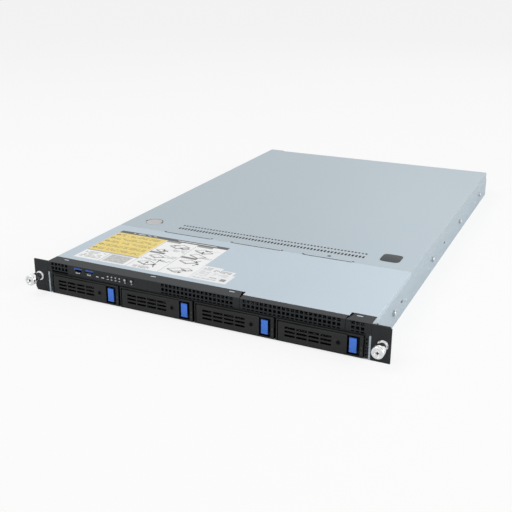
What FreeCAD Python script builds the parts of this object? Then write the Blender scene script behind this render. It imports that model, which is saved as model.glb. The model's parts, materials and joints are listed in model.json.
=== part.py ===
import FreeCAD, Part
import math
import os
import re
import Sketcher

# A one-unit rack server with four drive trays across the front.
# X runs to the right seen from the front, Y to the rear and Z up, in millimetres.
# Y = 0 is the rear face of the rack ears, X = 0 the middle and Z = 0 the underside.

doc = FreeCAD.newDocument("rack_server")
sheet = doc.addObject("Spreadsheet::Sheet", "sizes")
size = {}


def sizes(**values):
    """Write each size in a row of the sheet, under its own alias."""
    for word, value in values.items():
        row = len(size) + 1
        sheet.set(f"A{row}", word)
        sheet.set(f"B{row}", str(value))
        sheet.setAlias(f"B{row}", word)
        size[word] = value


def bound(formula):
    """Make the size names in a formula refer to the sheet."""
    def reference(match):
        word = match.group()
        return f"sizes.{word}" if word in size else word
    return re.sub(r"[a-z_]+", reference, str(formula))


# Case and covers
sizes(
    rack_width=482.6, chassis_width=438, chassis_height=43.5, chassis_depth=728,
    steel=1.2, cover_steel=1.0, ear_thick=2.0, hem=2.2, hem_height=29, rim_depth=18,
    seam=168, step_front=36, step_rear=30, lip=8.7, cover_gap=0.2, side_gap=0.3, edge_gap=0.3,
    standoff_radius=3, board_low=7.2, board_thick=1.6, rail_slot_long=8, rail_slot_tall=3.4,
)
# Front panel, its vents and controls
sizes(
    panel_low=28.2, shelf=1.0, shelf_depth=16, bay_left=59.4, bay_right=189.4, bay_rim=9, bay_gap=0.6,
    flange_slant=5.2, leg_width=4.8, vent=3.9, vent_pitch=5.5, vent_high=41.0, vent_drop=5.65,
    vent_low=30.9, vent_low_tall=2.0, left_vent=-211.2, centre_vent=-44.4, blank_vent=65.9,
    right_vent=197.8,
    leg_vent=2.2, leg_vent_pitch=4.6, leg_vent_low=5.5, cable_slot_left=-212.8, cable_slot_right=-187.2,
    port_left=-171, port_pitch=17.5, port_high=38.6, port_width=13.2, port_tall=5.8, port_long=17,
    port_wall=0.4, port_fit=0.3, control_high=38, pinhole_left=-140.7, pinhole_pitch=8.6,
    pinhole_radius=1.1,
    light_left=-124.7, light_pitch=5.87, light_radius=1.0, light_fit=0.1, button_left=-98.8,
    io_front=2.2,
    button_pitch=9.7, button_radius=2.5, button_fit=0.25, hook_slot=8, hook_slot_deep=3, hook_width=11,
    hook_fit=0.4, hook_back=7, hook_root=3, cable_slot_low=29.7, cable_slot_high=32.3, blank_return=5,
    tag_seam=-65.8, tag_seam_width=0.6, port_sunk=0.4, port_back=2, io_left=13, io_right=8, io_rear=40,
    io_post_radius=2.5, io_post_back=30, guide_block=2.5, guide_front=2, guide_rear=7, guide_rise=1.6,
    switch_half=2.9, switch_front=3, switch_rise=2.4, button_rear=1.8, button_proud=1.0, key_flange=1.0,
    key_flange_gap=0.3, pin_play=0.2, pin_sunk=0.5, pin_flange=2.2,
)
# Ears and captive screws
sizes(
    ear_flange=1.6, ear_flange_depth=45, ear_flange_top=35, ear_gap=0.3, screw_spacing=465.1,
    screw_high=21.4,
    retainer_radius=6.2, retainer_rim=1.4, shank_radius=4.0, barrel_radius=4.8, barrel_long=11,
    retainer_bore=3.5, screw_radius=2.5, screw_shank=2.1, screw_fit=0.1, knob_radius=7, knob_long=11.4,
    knob_cap=2.0,
    knob_fit=0.3, knob_start=9.2, screw_tip=4, thread_start=0.3, ring_thick=0.8, ring_fit=0.05,
    ear_corner=2.5, ear_slant_high=4.5, ear_slant_wide=2.3, barrel_end=1, groove_in=2.4,
    groove_wide=0.9,
    groove_deep=0.7, cross_reach=3, cross_deep=1.4, cross_half=0.7,
)
# Drive trays
sizes(
    bays=4, tray_width=103.4, tray_gap=3.0, tray_proud=3.0, tray_low=1.6, tray_roof=27.6, brow=1.3,
    bezel_depth=13, tray_wall=1.2, tray_rail=0.9, rail_low=3, rail_high=22, rail_end=160,
    lever_low=2.6, lever_high=27.2, lever_thick=2.8, lever_skin=1.3, lever_end=84.9, lever_bevel=1.5,
    hinge_in=3.4,
    hinge_back=1.8, hinge_pin=1.0, hinge_fit=0.05, lever_slot=12.8, lever_slot_tall=2.7,
    lever_slot_pitch=14.45, lever_slot_rise=4.85, lever_slot_left=10.6, lock_in=75, lock_radius=2.55,
    lock_fit=0.05, lock_rim=3.5, latch_left=87.4, latch_width=8.4, latch_low=5.5, latch_high=23.7,
    latch_thick=2.0, latch_travel=2.0, recess_left=85.4, recess_right=99.6, stem_fit=0.3,
    drive_front=9, drive_long=147, drive_low=1.7, drive_tall=26.1, socket_left=31, socket_width=36,
    socket_deep=7, socket_tall=7.5, cage_wall=1.0, cage_front=4, cage_rear=159, board_gap=1,
    lever_room=1.6, lever_fit=0.3, latch_room=1, latch_sunk=0.3, stem_in=2.5, stem_wall=2, stem_end=0.5,
    recess_low=1.8, recess_top=1, air_left=9, air_right=69, air_half=7.5, lamp_in=1.2, lamp_wide=1.6,
    lamp_deep=0.6, lamp_tall=2.6, lamp_drop=1.1, lamp_pitch=6, tooth_half=5, tooth_wide=3,
    tooth_out=1.2,
    relief_side=2, relief_rise=3.5, lock_proud=0.3, lock_face=0.2, lock_back=0.9, lock_play=0.1,
    lock_slot_half=0.45, lock_slot_deep=1.0, lock_slot_reach=2, drive_lid_thick=1.2, lid_margin=2,
    lid_bevel=8, lid_notch=6, lid_notch_front=30, cage_fit=0.4, cage_start=0.2, cage_side_gap=1,
    backplane_thick=2, backplane_side=6, backplane_drop=3.2, window_side=14, window_rise=4,
    window_drop=7,
    plug_side=1, plug_front=1.5, plug_low=0.9, plug_top=0.8,
)
# Inside and rear
sizes(
    fans=6, fan_pitch=70, fan_size=40, fan_deep=28, fan_front=231.5, fan_bore=18.6, hub_radius=9,
    blade_tip=18.0, axle_radius=1.5, axle_fit=0.05, blades=7, mainboard_left=-213, mainboard_right=60,
    mainboard_front=262, mainboard_rear=722, cooler_wide=78, cooler_long=108, cooler_front=330,
    cooler_low=12, cooler_top=40, fin_pitch=3, fin_gap=2.4, cooler_left=-188, cooler_pitch=125,
    module_pitch=7.6, module_long=133.4, module_tall=31.2, module_thick=3.6,
    supply_width=73.5, supply_low=1.6, supply_top=40.4, supply_long=185, supply_pitch=75.0,
    supply_edge=0.7, divider=0.8, handle_out=24, handle_thick=3, handle_low=5, handle_high=37,
    slot_low=23.5, slot_tall=15, stud_radius=2.2, stud_head=4, stud_high=18.5, stud_out=1.6,
    stud_head_thick=1.2, strut_deep=3, strut_half=1, strut_bite=0.5, mount_step=0.5, tube_radius=4,
    tube_front=12, cup_front=1.5, cup_rear=20, cup_wall=1.5, cup_floor=2.5, axle_front=3, axle_end=1,
    blade_middle=9.5, blade_half_thick=0.45, blade_bite=0.3, root_chord=14, root_pitch=62, tip_chord=15,
    tip_pitch=38, cooler_foot=9, fin_edge=0.6, fin_floor=4, module_socket_wide=6.2, module_end=3,
    module_socket_tall=7, module_card_in=1.3, module_gap=1.5, back_flange_deep=20, back_flange_side=0.4,
    supply_wall_long=170, supply_wall_gap=0.4, supply_fit=0.3, relief_rise_rear=0.5,
    port_window_fit=0.3,
    card_edge=2, card_rim=1.5, rear_vent_left=2, rear_vent_low=0.5, left_rear_vent=-206,
    left_rear_vent_low=11, slot_cover_thick=1, slot_cover_tab=9, shell_long=17, shell_proud=0.4,
    edge_card_low=8, edge_card_thick=1.6, edge_card_half=20, edge_card_long=8, handle_side=1,
    handle_bend=5, handle_wall=3, handle_bend_inside=3, inlet_deep=17, grille_deep=2, grille_pitch=3.6,
    groove_low=13, groove_high=28, groove_inside=6, groove_long=38, catch_low=14.5, catch_high=26.5,
    catch_side=2.2, catch_back=34, catch_inside=2.8, catch_outside=1.6, catch_knuckle=1.8,
    catch_tab=7.5,
    catch_out=9, catch_tab_front=7.8, power_gap=17, power_thick=2, power_side=1, power_drop=5,
    plug_half=24, plug_low_rear=4.5, plug_high_rear=13, plug_gap=1, plug_slot_half=20.5,
    plug_slot_deep=9,
    plug_slot_low=7.6, plug_slot_high=10,
)
# Rear cover
sizes(
    cover_rear=720, vent_front_row=192, vent_rear_row=205.2, top_vents=58, top_vent_pitch=4.9,
    top_vent_left=-131, top_vent_wide=3.0, top_vent_long=7.5, top_vent_short=4.5,
    press_x=-181, press_y=201, press_radius=13, press_gap=0.6, dish_depth=0.9, spring_end=-146,
    spring_thick=0.8,
    pad_x=183, pad_y=204, pad_wide=27, pad_long=30, pad_corner=6, tongue=8, tongue_joggle=1.1,
    pad_lip=2, pad_lip_thick=1, tongue_root=3, joggle_front=1.6, relief_gap=0.4, relief_wide=2.4,
    notch_edge=-192, flange_rise=2, lock_screw_x=106, lock_screw_back=8.5, lock_screw_radius=2.2,
    leaf_gap=0.4, leaf_half=9, dish_inside=5, dish_rim=0.8,
)
doc.recompute()

half = "chassis_width / 2"
front = "-ear_thick"
tray_front = "-ear_thick - tray_proud"
rear_inside = "chassis_depth - steel"


# Solids between formulas

def pair(span):
    return f"({span[0]})", f"({span[1]})"


def block(name, x, y, z):
    """A block between a low and a high formula on each axis."""
    solid = doc.addObject("Part::Box", name)
    for prop, axis, span in zip(("Length", "Width", "Height"), "xyz", (x, y, z)):
        low, high = pair(span)
        solid.setExpression(prop, bound(f"{high} - {low}"))
        solid.setExpression(f"Placement.Base.{axis}", bound(low))
    return solid


TURN = {
    "x": FreeCAD.Rotation(FreeCAD.Vector(0, 1, 0), 90),
    "y": FreeCAD.Rotation(FreeCAD.Vector(1, 0, 0), -90),
    "z": FreeCAD.Rotation(),
}


def rod(name, radius, along, span, centre):
    """A round bar along an axis; centre gives its place on the other two, in their order."""
    solid = doc.addObject("Part::Cylinder", name)
    low, high = pair(span)
    solid.setExpression("Radius", bound(radius))
    solid.setExpression("Height", bound(f"{high} - {low}"))
    solid.Placement = FreeCAD.Placement(FreeCAD.Vector(), TURN[along])
    others = iter(centre)
    for axis in "xyz":
        at = low if axis == along else next(others)
        solid.setExpression(f"Placement.Base.{axis}", bound(at))
    return solid


def fuse(name, *solids):
    joined = doc.addObject("Part::MultiFuse", name)
    joined.Shapes = list(solids)
    return joined


def group(name, *solids):
    several = doc.addObject("Part::Compound", name)
    several.Links = list(solids)
    return several


def cut(name, base, *tools):
    rest = doc.addObject("Part::Cut", name)
    rest.Base = base
    rest.Tool = tools[0] if len(tools) == 1 else group(f"{name}_cuts", *tools)
    return rest


def placed(name, solid, x=0, y=0, z=0):
    """The same solid once more, moved by formulas."""
    copy = group(name, solid)
    for axis, shift in zip("xyz", (x, y, z)):
        copy.setExpression(f"Placement.Base.{axis}", bound(shift))
    return copy


# Sketched features. A profile lies on a plane by its two axes, and runs between two places on the third.

PLANE = {"z": "XY_Plane", "y": "XZ_Plane", "x": "YZ_Plane"}


def new_body(name):
    return doc.addObject("PartDesign::Body", name)


def new_sketch(body, name, along, place):
    sketch = body.newObject("Sketcher::SketchObject", name)
    plane = next(item for item in body.Origin.OriginFeatures if item.Role == PLANE[along])
    sketch.AttachmentSupport = (plane, [""])
    sketch.MapMode = "FlatFace"
    sign = "-" if along == "y" else ""
    sketch.setExpression("AttachmentOffset.Base.z", bound(f"{sign}({place})"))
    return sketch


def fix(sketch, geometry, point, u, v):
    """Tie a point of the sketch to two formulas."""
    for kind, formula in (("DistanceX", u), ("DistanceY", v)):
        number = sketch.addConstraint(Sketcher.Constraint(kind, -1, 1, geometry, point, 1.0))
        sketch.setExpression(f"Constraints[{number}]", bound(formula))


def outline(sketch, points):
    """A closed outline with straight sides through the points."""
    first = sketch.GeometryCount
    count = len(points)
    corner = [FreeCAD.Vector(math.cos(math.tau * i / count), math.sin(math.tau * i / count), 0)
              for i in range(count)]
    for i in range(count):
        sketch.addGeometry(Part.LineSegment(corner[i], corner[(i + 1) % count]), False)
    for i in range(count):
        following = first + (i + 1) % count
        sketch.addConstraint(Sketcher.Constraint("Coincident", first + i, 2, following, 1))
    for i, (u, v) in enumerate(points):
        fix(sketch, first + i, 1, u, v)


def disc(sketch, u, v, radius):
    number = sketch.addGeometry(Part.Circle(FreeCAD.Vector(), FreeCAD.Vector(0, 0, 1), 1), False)
    fix(sketch, number, 3, u, v)
    bend = sketch.addConstraint(Sketcher.Constraint("Radius", number, 1.0))
    sketch.setExpression(f"Constraints[{bend}]", bound(radius))


def oblong(u, v):
    """The corners of a rectangle between two formulas each way."""
    return [(u[0], v[0]), (u[1], v[0]), (u[1], v[1]), (u[0], v[1])]


def draw(sketch, profiles):
    for profile in profiles:
        if isinstance(profile, list):
            outline(sketch, profile)
        else:
            disc(sketch, *profile)


def pad(body, name, along, span, *profiles):
    """Add material: each profile is a list of corners, or a disc (u, v, radius)."""
    low, high = span
    sketch = new_sketch(body, f"{name}_outline", along, high if along == "y" else low)
    draw(sketch, profiles)
    feature = body.newObject("PartDesign::Pad", name)
    feature.Profile = sketch
    feature.setExpression("Length", bound(f"({high}) - ({low})"))
    return feature


def pocket(body, name, along, span, *profiles):
    low, high = span
    sketch = new_sketch(body, f"{name}_outline", along, low if along == "y" else high)
    draw(sketch, profiles)
    feature = body.newObject("PartDesign::Pocket", name)
    feature.Profile = sketch
    feature.setExpression("Length", bound(f"({high}) - ({low})"))
    return feature


def repeat(body, name, feature, columns, pitch, rows=1, rise=0):
    """Repeat a pocket in columns along its sketch's first axis and in rows along its second."""
    pattern = body.newObject("PartDesign::LinearPattern", name)
    pattern.Originals = [feature]
    pattern.Direction = (feature.Profile[0], ["H_Axis"])
    pattern.setExpression("Length", bound(f"({pitch}) * ({columns} - 1)"))
    pattern.setExpression("Occurrences", bound(columns))
    if rows != 1:
        pattern.Direction2 = (feature.Profile[0], ["V_Axis"])
        pattern.setExpression("Length2", bound(f"({rise}) * ({rows} - 1)"))
        pattern.setExpression("Occurrences2", bound(rows))
    body.Tip = pattern
    return pattern


nodes = []


def node(label, solid):
    """Name a finished sub-part."""
    solid.Label = label
    nodes.append(solid)
    return solid


# Chassis base: one folded steel tray. Its walls step inwards so that the covers' flanges lie flush.

def tray_section(step, top):
    """The folded section with inward top flanges, from floor to flange and back."""
    jog = "(cover_steel + side_gap)"
    inner = "steel * (sqrt(2) - 1)"
    right = [
        (half, "0"), (half, step), (f"{half} - {jog}", f"{step} + {jog}"), (f"{half} - {jog}", top),
        (f"{half} - {jog} - lip", top), (f"{half} - {jog} - lip", f"{top} - steel"),
        (f"{half} - {jog} - steel", f"{top} - steel"),
        (f"{half} - {jog} - steel", f"{step} + {jog} - {inner}"),
        (f"{half} - steel", f"{step} - {inner}"), (f"{half} - steel", "steel"),
    ]
    return right + [(f"-({x})", z) for x, z in reversed(right)]


chassis = new_body("chassis")
hemmed = [(half, "0"), (half, "hem_height"), (f"{half} - hem", "hem_height"),
          (f"{half} - hem", "steel")]
pad(chassis, "front_walls", "y", (front, "rim_depth"),
    hemmed + [(f"-({x})", z) for x, z in reversed(hemmed)])
cover_under = "chassis_height - cover_steel"
pad(chassis, "middle_walls", "y", ("rim_depth", "seam"), tray_section("step_front", cover_under))
pad(chassis, "rear_walls", "y", ("seam", rear_inside),
    tray_section("step_rear", f"{cover_under} - cover_gap"))
standoff_columns = (8, 136, 262)
standoff_rows = (10, 230, 440)
standoffs = [(f"mainboard_left + {x}", f"mainboard_front + {y}", "standoff_radius")
             for x in standoff_columns for y in standoff_rows]
pad(chassis, "standoffs", "z", ("steel", "board_low"), *standoffs)
stud_places = (90, 291, 482, 657)
rail_slot_places = (127, 368)
pocket(chassis, "stud_holes", "x", (f"-{half}", half),
       *[(y, "stud_high", "stud_radius") for y in stud_places])
pocket(chassis, "rail_slots", "x", (f"-{half}", half),
       *[oblong((f"{y} - rail_slot_long / 2", f"{y} + rail_slot_long / 2"),
                ("stud_high - rail_slot_tall / 2", "stud_high + rail_slot_tall / 2"))
         for y in rail_slot_places])
node("chassis_base", chassis)

stud_solids = []
for side, sign in (("left", "-"), ("right", "")):
    for number, y in enumerate(stud_places):
        wall = [f"{half} - steel", f"{half} + stud_out"]
        head = [f"{half} + stud_out", f"{half} + stud_out + stud_head_thick"]
        if sign:
            wall = [f"-({end})" for end in reversed(wall)]
            head = [f"-({end})" for end in reversed(head)]
        shank = rod(f"stud_shank_{side}_{number}", "stud_radius", "x", wall, (y, "stud_high"))
        disk = rod(f"stud_head_{side}_{number}", "stud_head", "x", head, (y, "stud_high"))
        stud_solids.append(fuse(f"stud_{side}_{number}", shank, disk))
node("rail_studs", group("studs", *stud_solids))


# Front cover: fixed steel sheet with side flanges, stepped back ahead of the blank bay

hook_places = (-199, -66, 43, 201)
lid = new_body("front_lid")
rim_edge = "rim_depth + edge_gap"
bay_edge = "bay_rim + edge_gap"
sheet_span = (cover_under, "chassis_height")
pad(lid, "sheet", "z", sheet_span, [
    (f"-{half}", rim_edge), ("bay_left - edge_gap", rim_edge), ("bay_left - edge_gap", bay_edge),
    ("bay_right + edge_gap", bay_edge), ("bay_right + edge_gap", rim_edge), (half, rim_edge),
    (half, "seam - edge_gap"), (f"-{half}", "seam - edge_gap")])
flange_outline = oblong((f"{half} - cover_steel", half), ("step_front + 1", "chassis_height"))
pad(lid, "flanges", "y", (rim_edge, "seam - edge_gap"),
    flange_outline, [(f"-({x})", z) for x, z in reversed(flange_outline)])
for number, x in enumerate(hook_places):
    across = (f"{x} - hook_width / 2", f"{x} + hook_width / 2")
    pad(lid, f"hook_{number}", "z", ("chassis_height - steel - cover_steel", "chassis_height - steel"),
        oblong(across, ("bay_rim", "rim_depth + hook_root")))
    tip = (f"{x} - hook_slot / 2 + hook_fit", f"{x} + hook_slot / 2 - hook_fit")
    pad(lid, f"hook_tip_{number}", "z", ("chassis_height - steel", "chassis_height - hook_fit / 2"),
        oblong(tip, ("rim_depth - hook_back + hook_fit",
                     "rim_depth - hook_back + hook_slot_deep - hook_fit")))
    pad(lid, f"hook_joggle_{number}", "z", ("chassis_height - steel", cover_under),
        oblong(across, (rim_edge, "rim_depth + hook_root")))
node("front_cover", lid)


# Front panel: black folded steel with the port windows, lights, buttons and square vents

def vents(body, name, left, columns, low_row=True):
    """Two rows of square holes, and a lower row half hidden by the trays."""
    across = (f"{left} - vent / 2", f"{left} + vent / 2")
    row = pocket(body, f"{name}_hole", "y", (front, f"{front} + steel"),
                 oblong(across, ("vent_high - vent_drop - vent / 2",
                                 "vent_high - vent_drop + vent / 2")))
    repeat(body, f"{name}_grid", row, columns, "vent_pitch", 2, "vent_drop")
    if not low_row:
        return
    low = pocket(body, f"{name}_low_hole", "y", (front, f"{front} + steel"),
                 oblong(across, ("vent_low - vent_low_tall / 2", "vent_low + vent_low_tall / 2")))
    repeat(body, f"{name}_low_row", low, columns, "vent_pitch")


panel = new_body("panel")
face = (front, f"{front} + steel")
wall_inside = f"{half} - hem"
pad(panel, "face", "y", face, [
    (f"-({half})", "hem_height"), (f"-({wall_inside})", "hem_height"),
    (f"-({wall_inside})", "panel_low"),
    (wall_inside, "panel_low"), (wall_inside, "hem_height"), (half, "hem_height"),
    (half, "chassis_height"),
    ("bay_right", "chassis_height"), ("bay_right", "panel_low + shelf"),
    ("bay_left", "panel_low + shelf"),
    ("bay_left", "chassis_height"), (f"-({half})", "chassis_height")])
pad(panel, "shelf_plate", "z", ("panel_low", "panel_low + shelf"),
    oblong((f"-({wall_inside})", wall_inside), (front, "shelf_depth")))
pad(panel, "top_flange_left", "z", ("chassis_height - steel", "chassis_height"), [
    (f"-({half})", front), ("bay_left", front), ("bay_left - flange_slant", "rim_depth"),
    (f"-({half})", "rim_depth")])
pad(panel, "top_flange_right", "z", ("chassis_height - steel", "chassis_height"), [
    ("bay_right", front), (half, front), (half, "rim_depth"),
    ("bay_right + flange_slant", "rim_depth")])
side_flange = oblong((f"{half} - steel", half), ("hem_height", "chassis_height"))
pad(panel, "side_flanges", "y", (front, "rim_depth"),
    side_flange, [(f"-({x})", z) for x, z in reversed(side_flange)])
pad(panel, "leg", "y", face,
    oblong((f"{wall_inside} - leg_width", wall_inside), ("steel", "panel_low")))
pocket(panel, "cable_slot", "y", face,
       oblong(("cable_slot_left", "cable_slot_right"), ("cable_slot_low", "cable_slot_high")))
leg_middle = f"{wall_inside} - leg_width / 2"
leg_hole = pocket(panel, "leg_hole", "y", face,
                  oblong((f"{leg_middle} - leg_vent / 2", f"{leg_middle} + leg_vent / 2"),
                         ("leg_vent_low - leg_vent / 2", "leg_vent_low + leg_vent / 2")))
repeat(panel, "leg_holes", leg_hole, 1, "leg_vent_pitch", 5, "leg_vent_pitch")
port_window = oblong(("port_left - port_width / 2 - port_fit", "port_left + port_width / 2 + port_fit"),
                     ("port_high - port_tall / 2 - port_fit", "port_high + port_tall / 2 + port_fit"))
window = pocket(panel, "port_window", "y", face, port_window)
repeat(panel, "port_windows", window, 2, "port_pitch")
pinhole = pocket(panel, "pinhole", "y", face, ("pinhole_left", "control_high", "pinhole_radius"))
repeat(panel, "pinholes", pinhole, 2, "pinhole_pitch")
light_hole = pocket(panel, "light_hole", "y", face,
                    ("light_left", "control_high", "light_radius + light_fit"))
repeat(panel, "light_holes", light_hole, 4, "light_pitch")
button_hole = pocket(panel, "button_hole", "y", face,
                     ("button_left", "control_high", "button_radius + button_fit"))
repeat(panel, "button_holes", button_hole, 2, "button_pitch")
hook_slots = [oblong((f"{x} - hook_slot / 2", f"{x} + hook_slot / 2"),
                     ("rim_depth - hook_back", "rim_depth - hook_back + hook_slot_deep"))
              for x in hook_places]
pocket(panel, "hook_slots", "z", ("chassis_height - steel", "chassis_height"), *hook_slots)
pocket(panel, "tag_seam", "y", (front, f"{front} + steel / 3"),
       oblong(("tag_seam - tag_seam_width / 2", "tag_seam + tag_seam_width / 2"),
              ("panel_low + shelf + 1", "chassis_height - steel")))
vents(panel, "left", "left_vent", 5, low_row=False)
vents(panel, "right", "right_vent", 3)
vents(panel, "centre", "centre_vent", 18)
node("front_panel", panel)

blank = new_body("blank")
blank_left = "bay_left + bay_gap"
blank_right = "bay_right - bay_gap"
pad(blank, "blank_face", "y", face,
    oblong((blank_left, blank_right), ("panel_low + shelf", "chassis_height")))
pad(blank, "blank_flange", "z", ("chassis_height - steel", "chassis_height"),
    oblong((blank_left, blank_right), (front, "bay_rim")))
pad(blank, "blank_return", "y", ("bay_rim - steel", "bay_rim"),
    oblong((blank_left, blank_right), ("chassis_height - blank_return", "chassis_height")))
vents(blank, "blank", "blank_vent", 22)
node("vent_panel", blank)


# Rack ears: folded black brackets, each with the hole of its captive screw

def ear(name, sign, corners):
    body = new_body(name)
    mirror = [(f"{sign}({x})", z) for x, z in corners]
    pad(body, f"{name}_plate", "y", (front, "0"), mirror)
    flange = oblong((half, f"{half} + ear_flange"), (front + " / 4", "ear_flange_depth"))
    pad(body, f"{name}_flange", "z", ("steel", "ear_flange_top"),
        [(f"{sign}({x})", y) for x, y in flange])
    pocket(body, f"{name}_hole", "y", (front, "0"),
           (f"{sign}screw_spacing / 2", "screw_high", "shank_radius"))
    return body


outer = "rack_width / 2"
inner = f"{half} + ear_gap"
node("rack_ear_left", ear("ear_left", "-", [
    (inner, "0"), (f"{outer} - ear_slant_wide", "0"), (outer, "ear_slant_high"),
    (outer, "chassis_height"),
    (inner, "chassis_height")]))
node("rack_ear_right", ear("ear_right", "+", [
    (inner, "0"), (outer, "0"), (outer, "chassis_height - ear_corner"),
    (f"{outer} - ear_corner", "chassis_height"),
    (inner, "chassis_height")]))


# Captive screws: a flanged barrel pressed into the ear, a stop ring inside it and a knob over it

rim_front = f"{front} - retainer_rim"
barrel_front = f"{rim_front} - barrel_long"
knob_rear = f"{rim_front} - knob_start"
knob_front = f"{knob_rear} - knob_long"
centre_line = (0, "screw_high")
retainer = cut(
    "retainer",
    fuse("retainer_solid",
         rod("retainer_flange", "retainer_radius", "y", (rim_front, front), centre_line),
         rod("retainer_shank", "shank_radius", "y", (rim_front, 0), centre_line),
         rod("retainer_barrel", "barrel_radius", "y", (barrel_front, rim_front), centre_line)),
    rod("retainer_hollow", "retainer_bore", "y", (f"{barrel_front} + barrel_end", 0), centre_line),
    rod("retainer_hole", "screw_radius + screw_fit", "y", (barrel_front, 0), centre_line))
ring_front = f"{barrel_front} + barrel_end + screw_fit"
stop_ring = cut(
    "stop_ring",
    rod("ring_outside", "retainer_bore - screw_fit", "y", (ring_front, f"{ring_front} + ring_thick"),
        centre_line),
    rod("ring_inside", "screw_shank + ring_fit", "y", (ring_front, f"{ring_front} + ring_thick"),
        centre_line))
knob_groove_front = f"{knob_front} + groove_in"
knob_groove = (knob_groove_front, f"{knob_groove_front} + groove_wide")
cross_span = (knob_front, f"{knob_front} + cross_deep")
knob = cut(
    "knob",
    rod("knob_outside", "knob_radius", "y", (knob_front, knob_rear), centre_line),
    rod("knob_cup", "barrel_radius + knob_fit", "y", (f"{knob_front} + knob_cap", knob_rear),
        centre_line),
    cut("knob_groove",
        rod("groove_outside", "knob_radius", "y", knob_groove, centre_line),
        rod("groove_inside", "knob_radius - groove_deep", "y", knob_groove, centre_line)),
    block("cross_level", ("-cross_reach", "cross_reach"), cross_span,
          ("screw_high - cross_half", "screw_high + cross_half")),
    block("cross_upright", ("-cross_half", "cross_half"), cross_span,
          ("screw_high - cross_reach", "screw_high + cross_reach")))
screw = fuse(
    "screw", knob,
    rod("screw_shaft", "screw_shank", "y", (f"{knob_front} + knob_cap", "thread_start"), centre_line),
    rod("screw_thread", "screw_radius", "y", ("thread_start", "screw_tip"), centre_line))
retainers = []
for side, sign in (("left", "-"), ("right", "")):
    at = f"{sign}screw_spacing / 2"
    retainers.append(placed(f"retainer_{side}", retainer, at))
    node(f"stop_ring_{side}", placed(f"ring_{side}", stop_ring, at))
    node(f"thumbscrew_{side}", placed(f"screw_{side}", screw, at))
node("screw_retainers", group("retainers", *retainers))


# Drive trays, one bay's pieces made once and placed four times; X = 0 is a tray's left edge

tray_right = "tray_width"
tray_middle = "(lever_low + lever_high) / 2"
bezel_rear = f"{tray_front} + bezel_depth"
pocket_floor = f"{tray_front} + lever_thick + lever_room"
hinge = ("hinge_in", f"{tray_front} + hinge_back")
recess_floor = f"{tray_front} + latch_thick + latch_travel + latch_room"
stem_left = "latch_left + latch_width / 4"
stem_right = "latch_left + latch_width * 3 / 4"
stem_low = "latch_low + stem_in"
stem_high = "latch_high - stem_in"
brow_rear = f"{front} - edge_gap"
tray = cut(
    "tray_solid",
    fuse("tray_bezel",
         block("tray_box", (0, tray_right), (tray_front, bezel_rear), ("tray_low", "tray_roof")),
         block("tray_brow", (0, tray_right), (tray_front, brow_rear),
               ("tray_roof", "tray_roof + brow"))),
    block("lever_pocket", ("tray_wall", "recess_left"), (tray_front, pocket_floor),
          ("lever_low - lever_fit", "tray_roof")),
    block("latch_recess", ("recess_left", "recess_right"), (tray_front, recess_floor),
          ("tray_low + recess_low", "tray_roof - recess_top")),
    block("stem_hole", (f"{stem_left} - stem_fit", f"{stem_right} + stem_fit"),
          (recess_floor, f"{bezel_rear} - stem_wall"),
          (f"{stem_low} - stem_fit", f"{stem_high} + stem_fit")),
    block("tray_hollow", ("tray_wall", "recess_left - tray_wall"),
          (f"{pocket_floor} + tray_wall", bezel_rear),
          ("tray_low + tray_wall", "tray_roof - tray_wall")),
    block("air_window", ("air_left", "air_right"), (pocket_floor, f"{pocket_floor} + tray_wall"),
          (f"{tray_middle} - air_half", f"{tray_middle} + air_half")),
    *[block(f"light_window_{number}", ("recess_right + lamp_in", "recess_right + lamp_in + lamp_wide"),
            (tray_front, f"{tray_front} + lamp_deep"),
            (f"{tray_middle} - lamp_drop - {number} * lamp_pitch - lamp_tall / 2",
             f"{tray_middle} - lamp_drop - {number} * lamp_pitch + lamp_tall / 2"))
      for number in range(2)])
tray = fuse(
    "tray",
    tray,
    rod("hinge_pin_rod", "hinge_pin", "z", ("lever_low - lever_fit", "tray_roof"), hinge),
    block("rail_left", (0, "tray_rail"), (bezel_rear, "rail_end"), ("rail_low", "rail_high")),
    block("rail_right", (f"{tray_right} - tray_rail", tray_right), (bezel_rear, "rail_end"),
          ("rail_low", "rail_high")))

lever = new_body("lever")
lever_rear = f"{tray_front} + lever_thick"
pad(lever, "lever_plate", "x", ("hinge_in", "lever_end"), [
    (tray_front, "lever_low"), (lever_rear, "lever_low"), (lever_rear, "lever_high"),
    (f"{tray_front} + lever_bevel", "lever_high"), (tray_front, "lever_high - lever_bevel")])
pad(lever, "lever_knuckle", "z", ("lever_low", "lever_high - lever_bevel"), (*hinge, "hinge_back"))
pad(lever, "lever_tooth", "z", (f"{tray_middle} - tooth_half", f"{tray_middle} + tooth_half"),
    oblong(("lever_end - tooth_wide", "lever_end"), (lever_rear, f"{lever_rear} + tooth_out")))
pad(lever, "lock_rim", "y", (f"{tray_front} - lock_proud", tray_front),
    ("lock_in", tray_middle, "lock_rim"))
pocket(lever, "hinge_bore", "z", ("lever_low", "lever_high"), (*hinge, "hinge_pin + hinge_fit"))
pocket(lever, "lock_hole", "y", (f"{tray_front} - lock_proud", lever_rear),
       ("lock_in", tray_middle, "lock_radius + lock_fit"))
pocket(lever, "lever_relief", "y", (f"{tray_front} + lever_skin", lever_rear),
       oblong(("lever_slot_left - relief_side",
               "lever_slot_left + 3 * lever_slot_pitch + lever_slot + relief_side"),
              (f"{tray_middle} - lever_slot_rise - relief_rise",
               f"{tray_middle} + lever_slot_rise + relief_rise")))
slot = pocket(lever, "lever_slot_hole", "y", (tray_front, lever_rear),
              oblong(("lever_slot_left", "lever_slot_left + lever_slot"),
                     (f"{tray_middle} - lever_slot_rise - lever_slot_tall / 2",
                      f"{tray_middle} - lever_slot_rise + lever_slot_tall / 2")))
repeat(lever, "lever_slots", slot, 4, "lever_slot_pitch", 3, "lever_slot_rise")

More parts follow.
